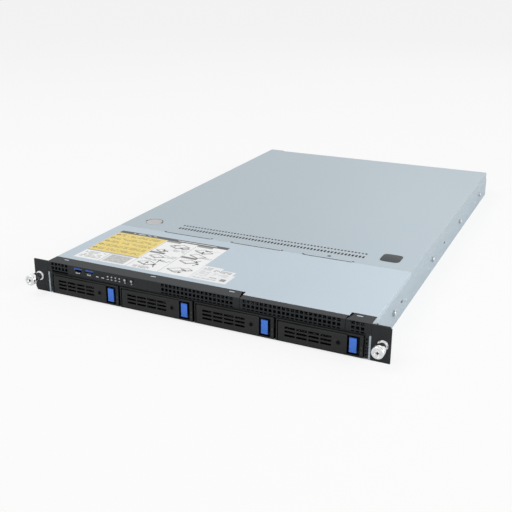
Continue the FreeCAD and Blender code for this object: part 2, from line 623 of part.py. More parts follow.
lock_front = f"{tray_front} - lock_face"
lock = cut(
    "lock",
    fuse("lock_solid",
         rod("lock_barrel", "lock_radius", "y", (lock_front, f"{lever_rear} + lock_back"),
             ("lock_in", tray_middle)),
         rod("lock_flange", "lock_rim", "y", (f"{lever_rear} + lock_play", f"{lever_rear} + lock_back"),
             ("lock_in", tray_middle))),
    block("lock_slot", ("lock_in - lock_slot_half", "lock_in + lock_slot_half"),
          (lock_front, f"{lock_front} + lock_slot_deep"),
          (f"{tray_middle} - lock_slot_reach", f"{tray_middle} + lock_slot_reach")))

latch_front = f"{tray_front} + latch_sunk"
latch = new_body("latch")
pad(latch, "latch_tab", "x", ("latch_left", "latch_left + latch_width"), [
    (f"{latch_front} + 0.5", "latch_low"), (f"{latch_front} + latch_thick", "latch_low"),
    (f"{latch_front} + latch_thick", "latch_high"), (f"{latch_front} + 0.5", "latch_high"),
    (latch_front, "latch_high - 0.8"), (latch_front, "latch_low + 3.2"),
    (f"{latch_front} + 0.7", "latch_low + 2.4"),
    (latch_front, "latch_low + 1.4")])
pad(latch, "latch_stem", "y",
    (f"{latch_front} + latch_thick", f"{bezel_rear} - stem_wall - latch_travel - stem_end"),
    oblong((stem_left, stem_right), (stem_low, stem_high)))

drive_high = "drive_low + drive_tall"
drive_rear = "drive_front + drive_long"
lid_low = f"{drive_high} - drive_lid_thick"
drive_sides = ("tray_rail", f"{tray_right} - tray_rail")
lid_left = "tray_rail + lid_margin"
lid_right = f"{tray_right} - tray_rail - lid_margin"
lid_front = "drive_front + lid_margin"
lid_rear = f"{drive_rear} - lid_margin"
notch_front = f"{drive_rear} - lid_notch_front"
drive = cut(
    "drive_solid",
    block("drive_case", drive_sides, ("drive_front", drive_rear), ("drive_low", lid_low)),
    block("drive_socket", ("socket_left", "socket_left + socket_width"),
          (f"{drive_rear} - socket_deep", drive_rear),
          ("drive_low", "drive_low + socket_tall")))
drive_lid = new_body("drive_lid")
pad(drive_lid, "drive_lid_plate", "z", (lid_low, drive_high), [
    (lid_left, f"{lid_front} + lid_bevel"), (f"{lid_left} + lid_bevel", lid_front),
    (f"{lid_right} - lid_bevel", lid_front), (lid_right, f"{lid_front} + lid_bevel"),
    (lid_right, notch_front), (f"{lid_right} - lid_notch", f"{notch_front} + lid_notch"),
    (f"{lid_right} - lid_notch", lid_rear), (lid_left, lid_rear)])
drive = fuse("drive", drive, drive_lid)

bay_pitch = "(tray_width + tray_gap)"
first_tray = "-(bays * tray_width + (bays - 1) * tray_gap) / 2"
for bay in range(int(size["bays"])):
    at = f"{first_tray} + {bay} * {bay_pitch}"
    number = bay + 1
    node(f"drive_tray_{number}", placed(f"tray_{number}", tray, at))
    node(f"hard_drive_{number}", placed(f"drive_{number}", drive, at))
    node(f"tray_lever_{number}", placed(f"lever_{number}", lever, at))
    node(f"tray_lock_{number}", placed(f"lock_{number}", lock, at))
    node(f"tray_latch_{number}", placed(f"latch_{number}", latch, at))


# Drive cage and backplane

cage = [block("cage_roof", (f"-({wall_inside}) + cage_fit", f"{wall_inside} - cage_fit"),
              ("shelf_depth + cage_start", "cage_rear"),
              ("panel_low", "panel_low + cage_wall"))]
for bay in range(int(size["bays"]) - 1):
    middle = f"{first_tray} + {bay + 1} * {bay_pitch} - tray_gap / 2"
    cage.append(block(f"cage_divider_{bay + 1}",
                      (f"{middle} - cage_wall / 2", f"{middle} + cage_wall / 2"),
                      ("cage_front", "cage_rear"), ("steel", "panel_low")))
for side, sign in (("left", "-"), ("right", "")):
    ends = [f"{first_tray} - cage_side_gap - cage_wall", f"{first_tray} - cage_side_gap"]
    if not sign:
        ends = [f"-({end})" for end in reversed(ends)]
    cage.append(block(f"cage_side_{side}", ends, ("cage_front", "cage_rear"), ("steel", "panel_low")))
node("drive_cage", fuse("cage", *cage))

backplane_front = "cage_rear + board_gap"
backplane_rear = f"{backplane_front} + backplane_thick"
backplane = new_body("backplane")
board_half = f"{wall_inside} - backplane_side"
pad(backplane, "backplane_board", "y", (backplane_front, backplane_rear),
    oblong((f"-({board_half})", board_half), ("steel", "chassis_height - backplane_drop")))
air = pocket(backplane, "backplane_window", "y", (backplane_front, backplane_rear),
             oblong((f"{first_tray} + window_side", f"{first_tray} + tray_width - window_side"),
                    ("drive_low + socket_tall + window_rise", "chassis_height - window_drop")))
repeat(backplane, "backplane_windows", air, "bays", bay_pitch)
sockets = [block(f"drive_socket_{bay + 1}",
                 (f"{first_tray} + {bay} * {bay_pitch} + socket_left + plug_side",
                  f"{first_tray} + {bay} * {bay_pitch} + socket_left + socket_width - plug_side"),
                 (f"{drive_rear} - socket_deep + plug_front", backplane_front),
                 ("drive_low + plug_low", "drive_low + socket_tall - plug_top"))
           for bay in range(int(size["bays"]))]
node("drive_backplane", fuse("backplane_solid", backplane, *sockets))


# Front input and output board with its two data ports and four light guides, and the four buttons

post_places = (-178, -88)
io_board_low = "port_high - port_tall / 2 - board_thick"
board_top = "port_high - port_tall / 2"
io_parts = [fuse("io_board",
                 block("io_plate", ("port_left - io_left", "button_left + button_pitch + io_right"),
                       ("io_front", "io_rear"), (io_board_low, board_top)),
                 *[rod(f"io_post_{number}", "io_post_radius", "z", ("panel_low + shelf", io_board_low),
                       (x, "io_post_back")) for number, x in enumerate(post_places)])]
for number in range(2):
    middle = f"port_left + {number} * port_pitch"
    across = (f"{middle} - port_width / 2", f"{middle} + port_width / 2")
    mouth = f"{front} + port_sunk"
    shell = block(f"port_shell_{number}", across, (mouth, f"{mouth} + port_long"),
                  (board_top, "port_high + port_tall / 2"))
    hollow = block(f"port_hollow_{number}", (f"{across[0]} + port_wall", f"{across[1]} - port_wall"),
                   (mouth, f"{mouth} + port_long - port_back"),
                   (f"{board_top} + port_wall", "port_high + port_tall / 2 - port_wall"))
    io_parts.append(cut(f"port_{number}", shell, hollow))
lights_block = block("light_block",
                     ("light_left - guide_block", "light_left + 3 * light_pitch + guide_block"),
                     ("guide_front", "guide_rear"), (board_top, "control_high + guide_rise"))
guides = [rod(f"light_guide_{number}", "light_radius", "y", (f"{front} - light_fit", "guide_front + 1"),
              (f"light_left + {number} * light_pitch", "control_high"))
          for number in range(4)]
io_parts.append(fuse("light_guides", lights_block, *guides))
switch_places = ["pinhole_left", "pinhole_left + pinhole_pitch", "button_left",
                 "button_left + button_pitch"]
for number, x in enumerate(switch_places):
    io_parts.append(block(f"switch_{number}", (f"{x} - switch_half", f"{x} + switch_half"),
                          ("switch_front", "guide_rear"), (board_top, "control_high + switch_rise")))
node("front_io_board", group("io_group", *io_parts))

key_front = f"{front} + steel + key_flange_gap"
key_flange_span = (key_front, f"{key_front} + key_flange")
for name, x in (("reset_button", switch_places[0]), ("nmi_button", switch_places[1])):
    pin = rod(f"{name}_pin", "pinhole_radius - pin_play", "y", (f"{front} + pin_sunk", "button_rear"),
              (x, "control_high"))
    flange = rod(f"{name}_flange", "pin_flange", "y", key_flange_span, (x, "control_high"))
    node(name, fuse(f"{name}_solid", pin, flange))
for name, x in (("power_button", switch_places[2]), ("id_button", switch_places[3])):
    cap = fuse(f"{name}_key",
               rod(f"{name}_cap", "button_radius", "y", (f"{front} - button_proud", key_front),
                   (x, "control_high")),
               rod(f"{name}_plunger", "pinhole_radius + pin_play", "y", (key_front, "button_rear"),
                   (x, "control_high")))
    flange = rod(f"{name}_flange", "button_radius + key_flange", "y", key_flange_span,
                 (x, "control_high"))
    node(name, fuse(f"{name}_solid", cap, flange))


# Fans: square frames on the floor, with a bearing tube on four struts, and bladed rotors

fan_rear = "fan_front + fan_deep"
fan_high = "steel + fan_size / 2"
fan_line = (0, fan_high)
strut_span = (f"{fan_rear} - strut_deep", fan_rear)
tube_span = ("fan_front + tube_front", fan_rear)
frame = cut("fan_frame",
            block("fan_square", ("-fan_size / 2", "fan_size / 2"), ("fan_front", fan_rear),
                  ("steel", "steel + fan_size")),
            rod("fan_tunnel", "fan_bore", "y", ("fan_front", fan_rear), fan_line))
struts = cut("fan_carrier",
             fuse("fan_carrier_solid",
                  block("strut_level", ("-fan_bore - strut_bite", "fan_bore + strut_bite"), strut_span,
                        (f"{fan_high} - strut_half", f"{fan_high} + strut_half")),
                  block("strut_upright", ("-strut_half", "strut_half"), strut_span,
                        (f"{fan_high} - fan_bore - strut_bite", f"{fan_high} + fan_bore + strut_bite")),
                  rod("fan_mount", "hub_radius - mount_step", "y", strut_span, fan_line),
                  rod("bearing_tube", "tube_radius", "y", tube_span, fan_line)),
             rod("bearing_bore", "axle_radius + axle_fit", "y", tube_span, fan_line))
housing = fuse("fan_housing", frame, struts)


def blade_shape():
    """One fan blade: flat facets from a steep root in the hub's wall to a flatter tip."""
    def section(radius, chord, pitch):
        lean = math.radians(pitch)
        along = FreeCAD.Vector(math.cos(lean), math.sin(lean), 0) * (chord / 2)
        thick = FreeCAD.Vector(-math.sin(lean), math.cos(lean), 0) * size["blade_half_thick"]
        reach = abs(along.x) + abs(thick.x)
        middle = FreeCAD.Vector(0, size["fan_front"] + size["blade_middle"],
                                math.sqrt(radius ** 2 - reach ** 2))
        return [middle + along + thick, middle - along + thick, middle - along - thick,
                middle + along - thick]
    root = section(size["hub_radius"] - size["blade_bite"], size["root_chord"], size["root_pitch"])
    tip = section(size["blade_tip"], size["tip_chord"], size["tip_pitch"])
    outlines = [root, tip]
    for i in range(4):
        j = (i + 1) % 4
        outlines += [[root[i], root[j], tip[j]], [root[i], tip[j], tip[i]]]
    faces = [Part.Face(Part.makePolygon(outline + outline[:1])) for outline in outlines]
    solid = Part.Solid(Part.Shell(faces))
    if solid.Volume < 0:
        solid.reverse()
    return solid


rotor_hub = cut("rotor_hub",
                rod("rotor_cup", "hub_radius", "y", ("fan_front + cup_front", "fan_front + cup_rear"),
                    (0, 0)),
                rod("rotor_hollow", "hub_radius - cup_wall", "y",
                    ("fan_front + cup_front + cup_floor", "fan_front + cup_rear"), (0, 0)))
blade_solids = []
for number in range(int(size["blades"])):
    blade = doc.addObject("Part::Feature", f"blade_{number}")
    blade.Shape = blade_shape()
    turn = FreeCAD.Rotation(FreeCAD.Vector(0, 1, 0), 360 * number / size["blades"])
    blade.Placement = FreeCAD.Placement(FreeCAD.Vector(), turn)
    blade_solids.append(blade)
axle = rod("rotor_axle", "axle_radius", "y", ("fan_front + axle_front", f"{fan_rear} - axle_end"),
           (0, 0))
rotor = fuse("rotor", rotor_hub, axle, *blade_solids)

housings = []
for number in range(int(size["fans"])):
    at = f"({number} - (fans - 1) / 2) * fan_pitch"
    housings.append(placed(f"housing_{number + 1}", housing, at))
    node(f"fan_rotor_{number + 1}", placed(f"rotor_{number + 1}", rotor, at, 0, fan_high))
node("fan_housings", group("housings", *housings))


# Main board with its memory, processor coolers and rear ports

board_high = "board_low + board_thick"
board = block("board_plate", ("mainboard_left", "mainboard_right"),
              ("mainboard_front", "mainboard_rear"),
              ("board_low", board_high))
chip_places = [("chip_bridge", (-60, -32), (500, 528), 6), ("power_header", (20, 52), (275, 300), 9),
               ("coil_bank", (-184, -120), (300, 312), 7),
               ("riser_socket", (-112, -104), (560, 660), 11)]
chips = [block(name, across, along, (board_high, f"{board_high} + {tall}"))
         for name, across, along, tall in chip_places]
node("main_board", fuse("board", board, *chips))

cooler = new_body("cooler")
cooler_rear = "cooler_front + cooler_long"
pad(cooler, "cooler_block", "z", (board_high, "cooler_top"),
    oblong((0, "cooler_wide"), ("cooler_front", cooler_rear)))
undercut = oblong((0, "cooler_foot"), (board_high, "cooler_low"))
mirrored = oblong(("cooler_wide - cooler_foot", "cooler_wide"), (board_high, "cooler_low"))
pocket(cooler, "cooler_undercut", "y", ("cooler_front", cooler_rear), undercut, mirrored)
gap = pocket(cooler, "fin_gap_cut", "y", ("cooler_front", cooler_rear),
             oblong(("(fin_pitch - fin_gap) / 2 + fin_edge",
                     "(fin_pitch - fin_gap) / 2 + fin_edge + fin_gap"),
                    ("cooler_low + fin_floor", "cooler_top")))
repeat(cooler, "fin_gaps", gap, "floor((cooler_wide - 1) / fin_pitch)", "fin_pitch")
node("heatsinks", group("coolers",
                        *[placed(f"cooler_{number}", cooler, f"cooler_left + {number} * cooler_pitch")
                          for number in range(2)]))

module = fuse("module",
              block("module_socket", (0, "module_socket_wide"),
                    (f"{cooler_rear} - module_long - module_end", cooler_rear),
                    (board_high, f"{board_high} + module_socket_tall")),
              block("module_card", ("module_card_in", "module_card_in + module_thick"),
                    (f"{cooler_rear} - module_long", f"{cooler_rear} - module_end"),
                    (board_high, f"{board_high} + module_tall")))
module_rows = ["cooler_left - 3 * module_pitch", "cooler_left + cooler_wide + module_gap",
               "cooler_left + cooler_pitch - 3 * module_pitch",
               "cooler_left + cooler_pitch + cooler_wide + module_gap"]
modules = []
for row, start in enumerate(module_rows):
    for number in range(3):
        modules.append(placed(f"module_{row}_{number}", module, f"{start} + {number} * module_pitch"))
node("memory_modules", group("modules", *modules))


# Rear panel with its port windows, card slots and the power supply cage

supply_right = f"{half} - cover_steel - side_gap - steel - supply_edge"
supply_middle = [f"{supply_right} - supply_width / 2 - supply_pitch",
                 f"{supply_right} - supply_width / 2"]
bay_wall = f"{supply_right} - supply_width - supply_pitch - supply_wall_gap"
back = new_body("back")
plate_span = (rear_inside, "chassis_depth")
jog = "(cover_steel + side_gap)"
rim_top = f"{cover_under} - cover_gap"
right_edge = [(half, "0"), (half, "step_rear"), (f"{half} - {jog}", f"step_rear + {jog}"),
              (f"{half} - {jog}", rim_top)]
pad(back, "back_plate", "y", plate_span, right_edge + [(f"-({x})", z) for x, z in reversed(right_edge)])
top_inside = f"{half} - {jog} - lip - back_flange_side"
flange_front = "chassis_depth - back_flange_deep"
walls_front = "chassis_depth - supply_wall_long"
pad(back, "back_flange", "z", (f"{rim_top} - steel", rim_top),
    oblong((f"-({top_inside})", top_inside), (flange_front, "chassis_depth")))
pad(back, "supply_walls", "y", (walls_front, "chassis_depth"),
    oblong((f"{bay_wall} - divider", bay_wall), ("steel", f"{rim_top} - steel / 2")),
    oblong((f"{supply_middle[1]} - supply_pitch / 2 - divider / 2",
            f"{supply_middle[1]} - supply_pitch / 2 + divider / 2"),
           ("steel", f"{rim_top} - steel / 2")))
pocket(back, "wall_relief", "y", (walls_front, flange_front),
       oblong((f"{bay_wall} - divider", half), ("supply_top + relief_rise_rear", "chassis_height")))
for number, middle in enumerate(supply_middle):
    pocket(back, f"supply_window_{number}", "y", plate_span,
           oblong((f"{middle} - supply_width / 2 - supply_fit",
                   f"{middle} + supply_width / 2 + supply_fit"),
                  ("steel", "supply_top + supply_fit")))
port_low = board_high
rear_sockets = [("network_a", -95, 16.0, 13.5), ("network_b", -76, 16.0, 13.5),
                ("network_c", -57, 16.0, 13.5),
                ("data_pair", -38, 13.2, 12.6), ("display", -9, 31.0, 12.0)]
for name, x, wide, tall in rear_sockets:
    pocket(back, f"{name}_window", "y", plate_span,
           oblong((f"{x - wide / 2} - port_window_fit", f"{x + wide / 2} + port_window_fit"),
                  (f"{port_low} - port_window_fit", f"{port_low} + {tall} + port_window_fit")))
card_slots = [(-208, -96), (-88, -8)]
for number, (left, right) in enumerate(card_slots):
    pocket(back, f"card_window_{number}", "y", plate_span,
           oblong((f"{left} + card_edge", f"{right} - card_edge"),
                  ("slot_low + card_rim", "slot_low + slot_tall - card_rim")))
rear_vent = pocket(back, "rear_vent", "y", plate_span,
                   oblong(("rear_vent_left", "rear_vent_left + vent"),
                          ("slot_low + rear_vent_low", "slot_low + rear_vent_low + vent")))
repeat(back, "rear_vents", rear_vent, 11, "vent_pitch", 3, "vent_pitch")
left_vent = pocket(back, "left_rear_vent", "y", plate_span,
                   oblong(("left_rear_vent", "left_rear_vent + vent"),
                          ("left_rear_vent_low", "left_rear_vent_low + vent")))
repeat(back, "left_rear_vents", left_vent, 18, "vent_pitch")
node("rear_panel", back)

hole_left, hole_wide, hole_rim, hole_pitch = 10, 3, 4, 6
cover_span = (f"{rear_inside} - slot_cover_thick", rear_inside)
covers = []
for number, (left, right) in enumerate(card_slots):
    cover = new_body(f"slot_cover_{number}")
    pad(cover, f"slot_plate_{number}", "y", cover_span,
        oblong((left, right), ("slot_low", "slot_low + slot_tall")))
    pad(cover, f"slot_tab_{number}", "z", ("slot_low", "slot_low + slot_tall"),
        oblong((left, f"{left} + slot_cover_thick"), (f"{rear_inside} - slot_cover_tab", rear_inside)))
    hole = pocket(cover, f"slot_hole_{number}", "y", cover_span,
                  oblong((left + hole_left, left + hole_left + hole_wide),
                         (f"slot_low + {hole_rim}", f"slot_low + slot_tall - {hole_rim}")))
    repeat(cover, f"slot_holes_{number}", hole,
           int((right - left - hole_left - hole_pitch) / hole_pitch),
           hole_pitch)
    covers.append(cover)
node("slot_covers", group("slot_cover_pair", *covers))

mouths = {
    "network": (5.9, 13, [(2.2, 10.4)]),
    "data": (6.2, 13, [(0.6, 5.6), (7.0, 12.0)]),
    "display": (8.3, 5.6, [(2.1, 9.9)]),
}
shell_rear = "chassis_depth + shell_proud"
rear_ports = []
for name, x, wide, tall in rear_sockets:
    shell = block(f"{name}_shell", (x - wide / 2, x + wide / 2),
                  ("chassis_depth - shell_long", shell_rear), (port_low, f"{port_low} + {tall}"))
    reach, deep, levels = mouths[name.split("_")[0]]
    hollows = [block(f"{name}_hollow_{level}", (x - reach, x + reach),
                     (f"chassis_depth - {deep}", shell_rear),
                     (f"{port_low} + {low}", f"{port_low} + {high}"))
               for level, (low, high) in enumerate(levels)]
    rear_ports.append(cut(f"{name}_port", shell, *hollows))
node("rear_ports", group("rear_port_set", *rear_ports))


# Power supplies: made once about X = 0 and placed twice, with side latches and the board they plug into

supply_front = "chassis_depth - supply_long"
side = "supply_width / 2"
supply = new_body("supply")
pad(supply, "supply_case", "y", (supply_front, "chassis_depth"),
    oblong((f"-{side}", side), ("supply_low", "supply_top")))
pad(supply, "supply_edge_card", "z", ("edge_card_low", "edge_card_low + edge_card_thick"),
    oblong(("-edge_card_half", "edge_card_half"), (f"{supply_front} - edge_card_long", supply_front)))


def hoop(rear, low, high, bend):
    """The outline of a bent handle that ends on the rear face."""
    return [("chassis_depth", low), (f"{rear} - {bend}", low), (rear, f"{low} + {bend}"),
            (rear, f"{high} - {bend}"), (f"{rear} - {bend}", high), ("chassis_depth", high)]


handle_span = ("-handle_thick - handle_side", "-handle_side")
handle_rear = "chassis_depth + handle_out"
pad(supply, "supply_handle", "x", handle_span,
    hoop(handle_rear, "handle_low", "handle_high", "handle_bend"))
pocket(supply, "handle_opening", "x", handle_span,
       hoop(f"{handle_rear} - handle_wall", "handle_low + handle_wall", "handle_high - handle_wall",
            "handle_bend_inside"))
pocket(supply, "inlet", "y", ("chassis_depth - inlet_deep", "chassis_depth"), [
    (-33, 7), (-9, 7), (-9, 18.5), (-13, 23), (-29, 23), (-33, 18.5)])
grille = pocket(supply, "grille_slot", "y", ("chassis_depth - grille_deep", "chassis_depth"),
                oblong((3, 5), (7, 35)))
repeat(supply, "grille", grille, 7, "grille_pitch")
groove_span = ("groove_low", "groove_high")
pocket(supply, "latch_groove", "z", groove_span,
       oblong((f"{side} - groove_inside", side), ("chassis_depth - groove_long", "chassis_depth")))
catch_hinge = (f"{side} - catch_side", "chassis_depth - catch_back")
pad(supply, "latch_pin", "z", groove_span, (*catch_hinge, "hinge_pin"))

trigger = new_body("trigger")
catch_span = ("catch_low", "catch_high")
catch_face = f"{side} - catch_outside"
pad(trigger, "trigger_strip", "z", catch_span,
    oblong((f"{side} - catch_inside", catch_face),
           ("chassis_depth - catch_back", "chassis_depth + catch_out")))
pad(trigger, "trigger_knuckle", "z", catch_span, (*catch_hinge, "catch_knuckle"))
pad(trigger, "trigger_tab", "z", catch_span,
    oblong((f"{side} - catch_tab", catch_face),
           ("chassis_depth + catch_tab_front", "chassis_depth + catch_out")))
pocket(trigger, "trigger_bore", "z", catch_span, (*catch_hinge, "hinge_pin + hinge_fit"))

for number, middle in enumerate(supply_middle):
    node(f"power_supply_{number + 1}", placed(f"supply_{number + 1}", supply, middle))
    node(f"supply_latch_{number + 1}", placed(f"trigger_{number + 1}", trigger, middle))

power_rear = f"{supply_front} - power_gap"
plug_rear = f"{supply_front} - plug_gap"
power_parts = [block("power_plate", (f"{bay_wall} + power_side", f"{supply_right} - power_side"),
                     (f"{power_rear} - power_thick", power_rear),
                     ("steel", "chassis_height - power_drop"))]
for number, middle in enumerate(supply_middle):
    housing_block = block(f"power_socket_{number}", (f"{middle} - plug_half", f"{middle} + plug_half"),
                          (power_rear, plug_rear), ("plug_low_rear", "plug_high_rear"))
    card_slot = block(f"power_slot_{number}",
                      (f"{middle} - plug_slot_half", f"{middle} + plug_slot_half"),
                      (f"{supply_front} - plug_slot_deep", plug_rear),
                      ("plug_slot_low", "plug_slot_high"))
    power_parts.append(cut(f"power_connector_{number}", housing_block, card_slot))
node("power_board", fuse("power_board_solid", *power_parts))


# Rear cover: slides back on its two welded flange strips. Three tongues pass under the front cover.

roof = new_body("rear_lid")
cover_front = "seam + edge_gap"
pad(roof, "roof_sheet", "z", sheet_span, [
    (f"-{half}", cover_front), (half, cover_front), (half, "cover_rear"), ("notch_edge", "cover_rear"),
    ("notch_edge", "chassis_depth"), (f"-{half}", "chassis_depth")])
roof_flanges = [block(f"roof_flange_{side}", edges, (cover_front, "cover_rear"),
                      ("step_rear + flange_rise", cover_under))
                for side, edges in (("left", (f"-{half}", f"cover_steel - {half}")),
                                    ("right", (f"{half} - cover_steel", half)))]
tongue_ends = ((-141, -68), (-34, 39.5), (73, 140))
tongue_rear = f"{cover_front} + tongue_root"
relief_depth = (cover_front, f"{cover_front} + relief_wide")
for number, (left, right) in enumerate(tongue_ends):
    pad(roof, f"tongue_{number}", "z",
        (f"{cover_under} - tongue_joggle - cover_steel", f"{cover_under} - tongue_joggle"),
        oblong((left, right), ("seam - tongue", tongue_rear)))
    pad(roof, f"joggle_{number}", "z", (f"{cover_under} - tongue_joggle", cover_under),
        oblong((left, right), (f"{cover_front} + joggle_front", tongue_rear)))
    pocket(roof, f"relief_{number}", "z", sheet_span,
           oblong((f"{left} - relief_wide", f"{left} - relief_gap"), relief_depth),
           oblong((f"{right} + relief_gap", f"{right} + relief_wide"), relief_depth))
pocket(roof, "lock_screw_hole", "z", sheet_span, 
       ("lock_screw_x", "seam + lock_screw_back", "lock_screw_radius"))
pocket(roof, "press_hole", "z", sheet_span, ("press_x", "press_y", "press_radius"))
pad_window = [("pad_x - pad_wide / 2", "pad_x + pad_wide / 2"),
              ("pad_y - pad_long / 2", "pad_y + pad_long / 2")]


def rounded(u, v, corner):
    """A rectangle with its corners cut in two steps, which read as round at this size."""
    (a, b), (c, d) = u, v
    far = f"{corner} * 0.3"
    return [(f"{a} + {corner}", c), (f"{b} - {corner}", c),
            (f"{b} - {far}", f"{c} + {far}"), (b, f"{c} + {corner}"),
            (b, f"{d} - {corner}"), (f"{b} - {far}", f"{d} - {far}"),
            (f"{b} - {corner}", d), (f"{a} + {corner}", d),
            (f"{a} + {far}", f"{d} - {far}"), (a, f"{d} - {corner}"),
            (a, f"{c} + {corner}"), (f"{a} + {far}", f"{c} + {far}")]


pocket(roof, "pad_window", "z", sheet_span, rounded(*pad_window, "pad_corner"))
front_slot = pocket(roof, "front_slot", "z", sheet_span,
                    oblong(("top_vent_left - top_vent_wide / 2", "top_vent_left + top_vent_wide / 2"),
                           ("vent_front_row - top_vent_long / 2",
                            "vent_front_row + top_vent_long / 2")))
repeat(roof, "front_slots", front_slot, "top_vents", "top_vent_pitch")
rear_slot = pocket(roof, "rear_slot", "z", sheet_span,
                   oblong(("top_vent_left - top_vent_wide / 2", "top_vent_left + top_vent_wide / 2"),
                          ("vent_rear_row - top_vent_short / 2", "vent_rear_row + top_vent_short / 2")))
repeat(roof, "rear_slots", rear_slot, "top_vents", "top_vent_pitch")
node("rear_cover", group("roof", roof, *roof_flanges))

grip = new_body("grip")
pad(grip, "grip_face", "z", (cover_under, "chassis_height"), rounded(*pad_window, "pad_corner"))
pad(grip, "grip_lip", "z", (f"{cover_under} - pad_lip_thick", cover_under),
    rounded(*[(f"{low} - pad_lip", f"{high} + pad_lip") for low, high in pad_window], "pad_corner"))
node("cover_pad", grip)

# Cover latch: a spring leaf under the cover, with a dished round button in the cover's hole
leaf_top = f"{cover_under} - leaf_gap"
dish = doc.addObject("Part::Cone", "dish")
dish.setExpression("Radius1", bound("press_radius - dish_inside"))
dish.setExpression("Radius2", bound("press_radius - press_gap - dish_rim"))
dish.setExpression("Height", bound("dish_depth"))
dish.setExpression("Placement.Base.x", bound("press_x"))
dish.setExpression("Placement.Base.y", bound("press_y"))
dish.setExpression("Placement.Base.z", bound("chassis_height - dish_depth"))
press_span = (f"{leaf_top} - spring_thick", "chassis_height")
button = cut("press_button",
             rod("press_disc", "press_radius - press_gap", "z", press_span, ("press_x", "press_y")),
             dish)
leaf = block("spring_leaf", ("press_x", "spring_end"), ("press_y - leaf_half", "press_y + leaf_half"),
             (f"{leaf_top} - spring_thick", leaf_top))
node("cover_latch", fuse("cover_latch_solid", button, leaf))


# Check every object, then write each sub-part to its own file

doc.recompute()
for item in doc.Objects:
    if "Invalid" in item.State or "Error" in item.State:
        raise RuntimeError(f"{item.Name} is {item.State}")
    if item.TypeId in ("PartDesign::Pocket", "PartDesign::LinearPattern", "PartDesign::Pad"):
        before = item.BaseFeature.Shape.Volume if item.BaseFeature else 0
        change = item.Shape.Volume - before
        grows = item.TypeId == "PartDesign::Pad"
        if (change <= 0) if grows else (change >= 0):
            raise RuntimeError(f"{item.Name} changes nothing")

os.makedirs("parts", exist_ok=True)
for item in nodes:
    if item.Shape.isNull() or not item.Shape.isValid():
        raise RuntimeError(f"{item.Label} has no valid shape")
    item.Shape.exportStep(f"parts/{item.Label}.step")
print(f"{len(nodes)} sub-parts written")
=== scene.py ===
import bmesh
import bpy
import json
import math
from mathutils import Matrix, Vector


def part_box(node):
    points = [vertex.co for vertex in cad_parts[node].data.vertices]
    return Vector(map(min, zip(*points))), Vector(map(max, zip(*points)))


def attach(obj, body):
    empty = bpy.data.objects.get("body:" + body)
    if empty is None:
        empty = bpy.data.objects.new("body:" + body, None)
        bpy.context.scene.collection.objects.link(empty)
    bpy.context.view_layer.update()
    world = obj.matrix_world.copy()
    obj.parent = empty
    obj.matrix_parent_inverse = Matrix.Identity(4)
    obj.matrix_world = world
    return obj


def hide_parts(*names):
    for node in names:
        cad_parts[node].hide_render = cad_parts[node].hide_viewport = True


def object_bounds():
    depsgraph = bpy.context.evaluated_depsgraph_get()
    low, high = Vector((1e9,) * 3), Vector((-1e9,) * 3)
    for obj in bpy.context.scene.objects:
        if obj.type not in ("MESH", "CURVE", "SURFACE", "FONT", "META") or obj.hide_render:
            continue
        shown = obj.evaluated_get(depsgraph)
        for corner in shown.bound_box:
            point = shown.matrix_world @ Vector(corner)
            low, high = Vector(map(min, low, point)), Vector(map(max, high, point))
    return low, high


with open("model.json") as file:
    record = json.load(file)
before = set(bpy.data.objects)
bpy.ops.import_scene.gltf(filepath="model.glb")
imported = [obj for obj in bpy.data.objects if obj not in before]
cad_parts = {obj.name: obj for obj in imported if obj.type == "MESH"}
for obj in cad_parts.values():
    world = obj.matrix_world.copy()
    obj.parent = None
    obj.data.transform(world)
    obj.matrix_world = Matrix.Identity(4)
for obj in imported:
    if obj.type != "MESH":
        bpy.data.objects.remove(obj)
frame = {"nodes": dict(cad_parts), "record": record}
cad_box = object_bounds()
scene = bpy.context.scene
mm = 0.001


# Case tray: floor and side walls folded from one sheet of zinc-plated steel.
# The plating is smooth and faintly mottled, and its edges are bright: partly bare cut steel, partly painted
# highlight.

class Amount:
    """A shader socket in a sum: each operator adds its Math node and gives the result."""

    def __init__(self, finish, socket):
        self.finish = finish
        self.socket = socket

    def sum(self, operation, first, second):
        return self.finish.node("ShaderNodeMath", {"operation": operation}, {0: first, 1: second})

    def __add__(self, other):
        return self.sum("ADD", self, other)

    __radd__ = __add__

    def __sub__(self, other):
        return self.sum("SUBTRACT", self, other)

    def __rsub__(self, other):
        return self.sum("SUBTRACT", other, self)

    def __mul__(self, other):
        return self.sum("MULTIPLY", self, other)

    __rmul__ = __mul__

    def __truediv__(self, other):
        return self.sum("DIVIDE", self, other)

    def __gt__(self, other):
        return self.sum("GREATER_THAN", self, other)

    def __lt__(self, other):
        return self.sum("LESS_THAN", self, other)

    def whole(self):
        return self.sum("FLOOR", self, 0)

    def part(self):
        return self.sum("FRACT", self, 0)

    def channel(self, index):
        return self.finish.node("ShaderNodeSeparateColor", {}, {"Color": self}, index)

    def clamped(self):
        return self.finish.node("ShaderNodeClamp", {}, {"Value": self})


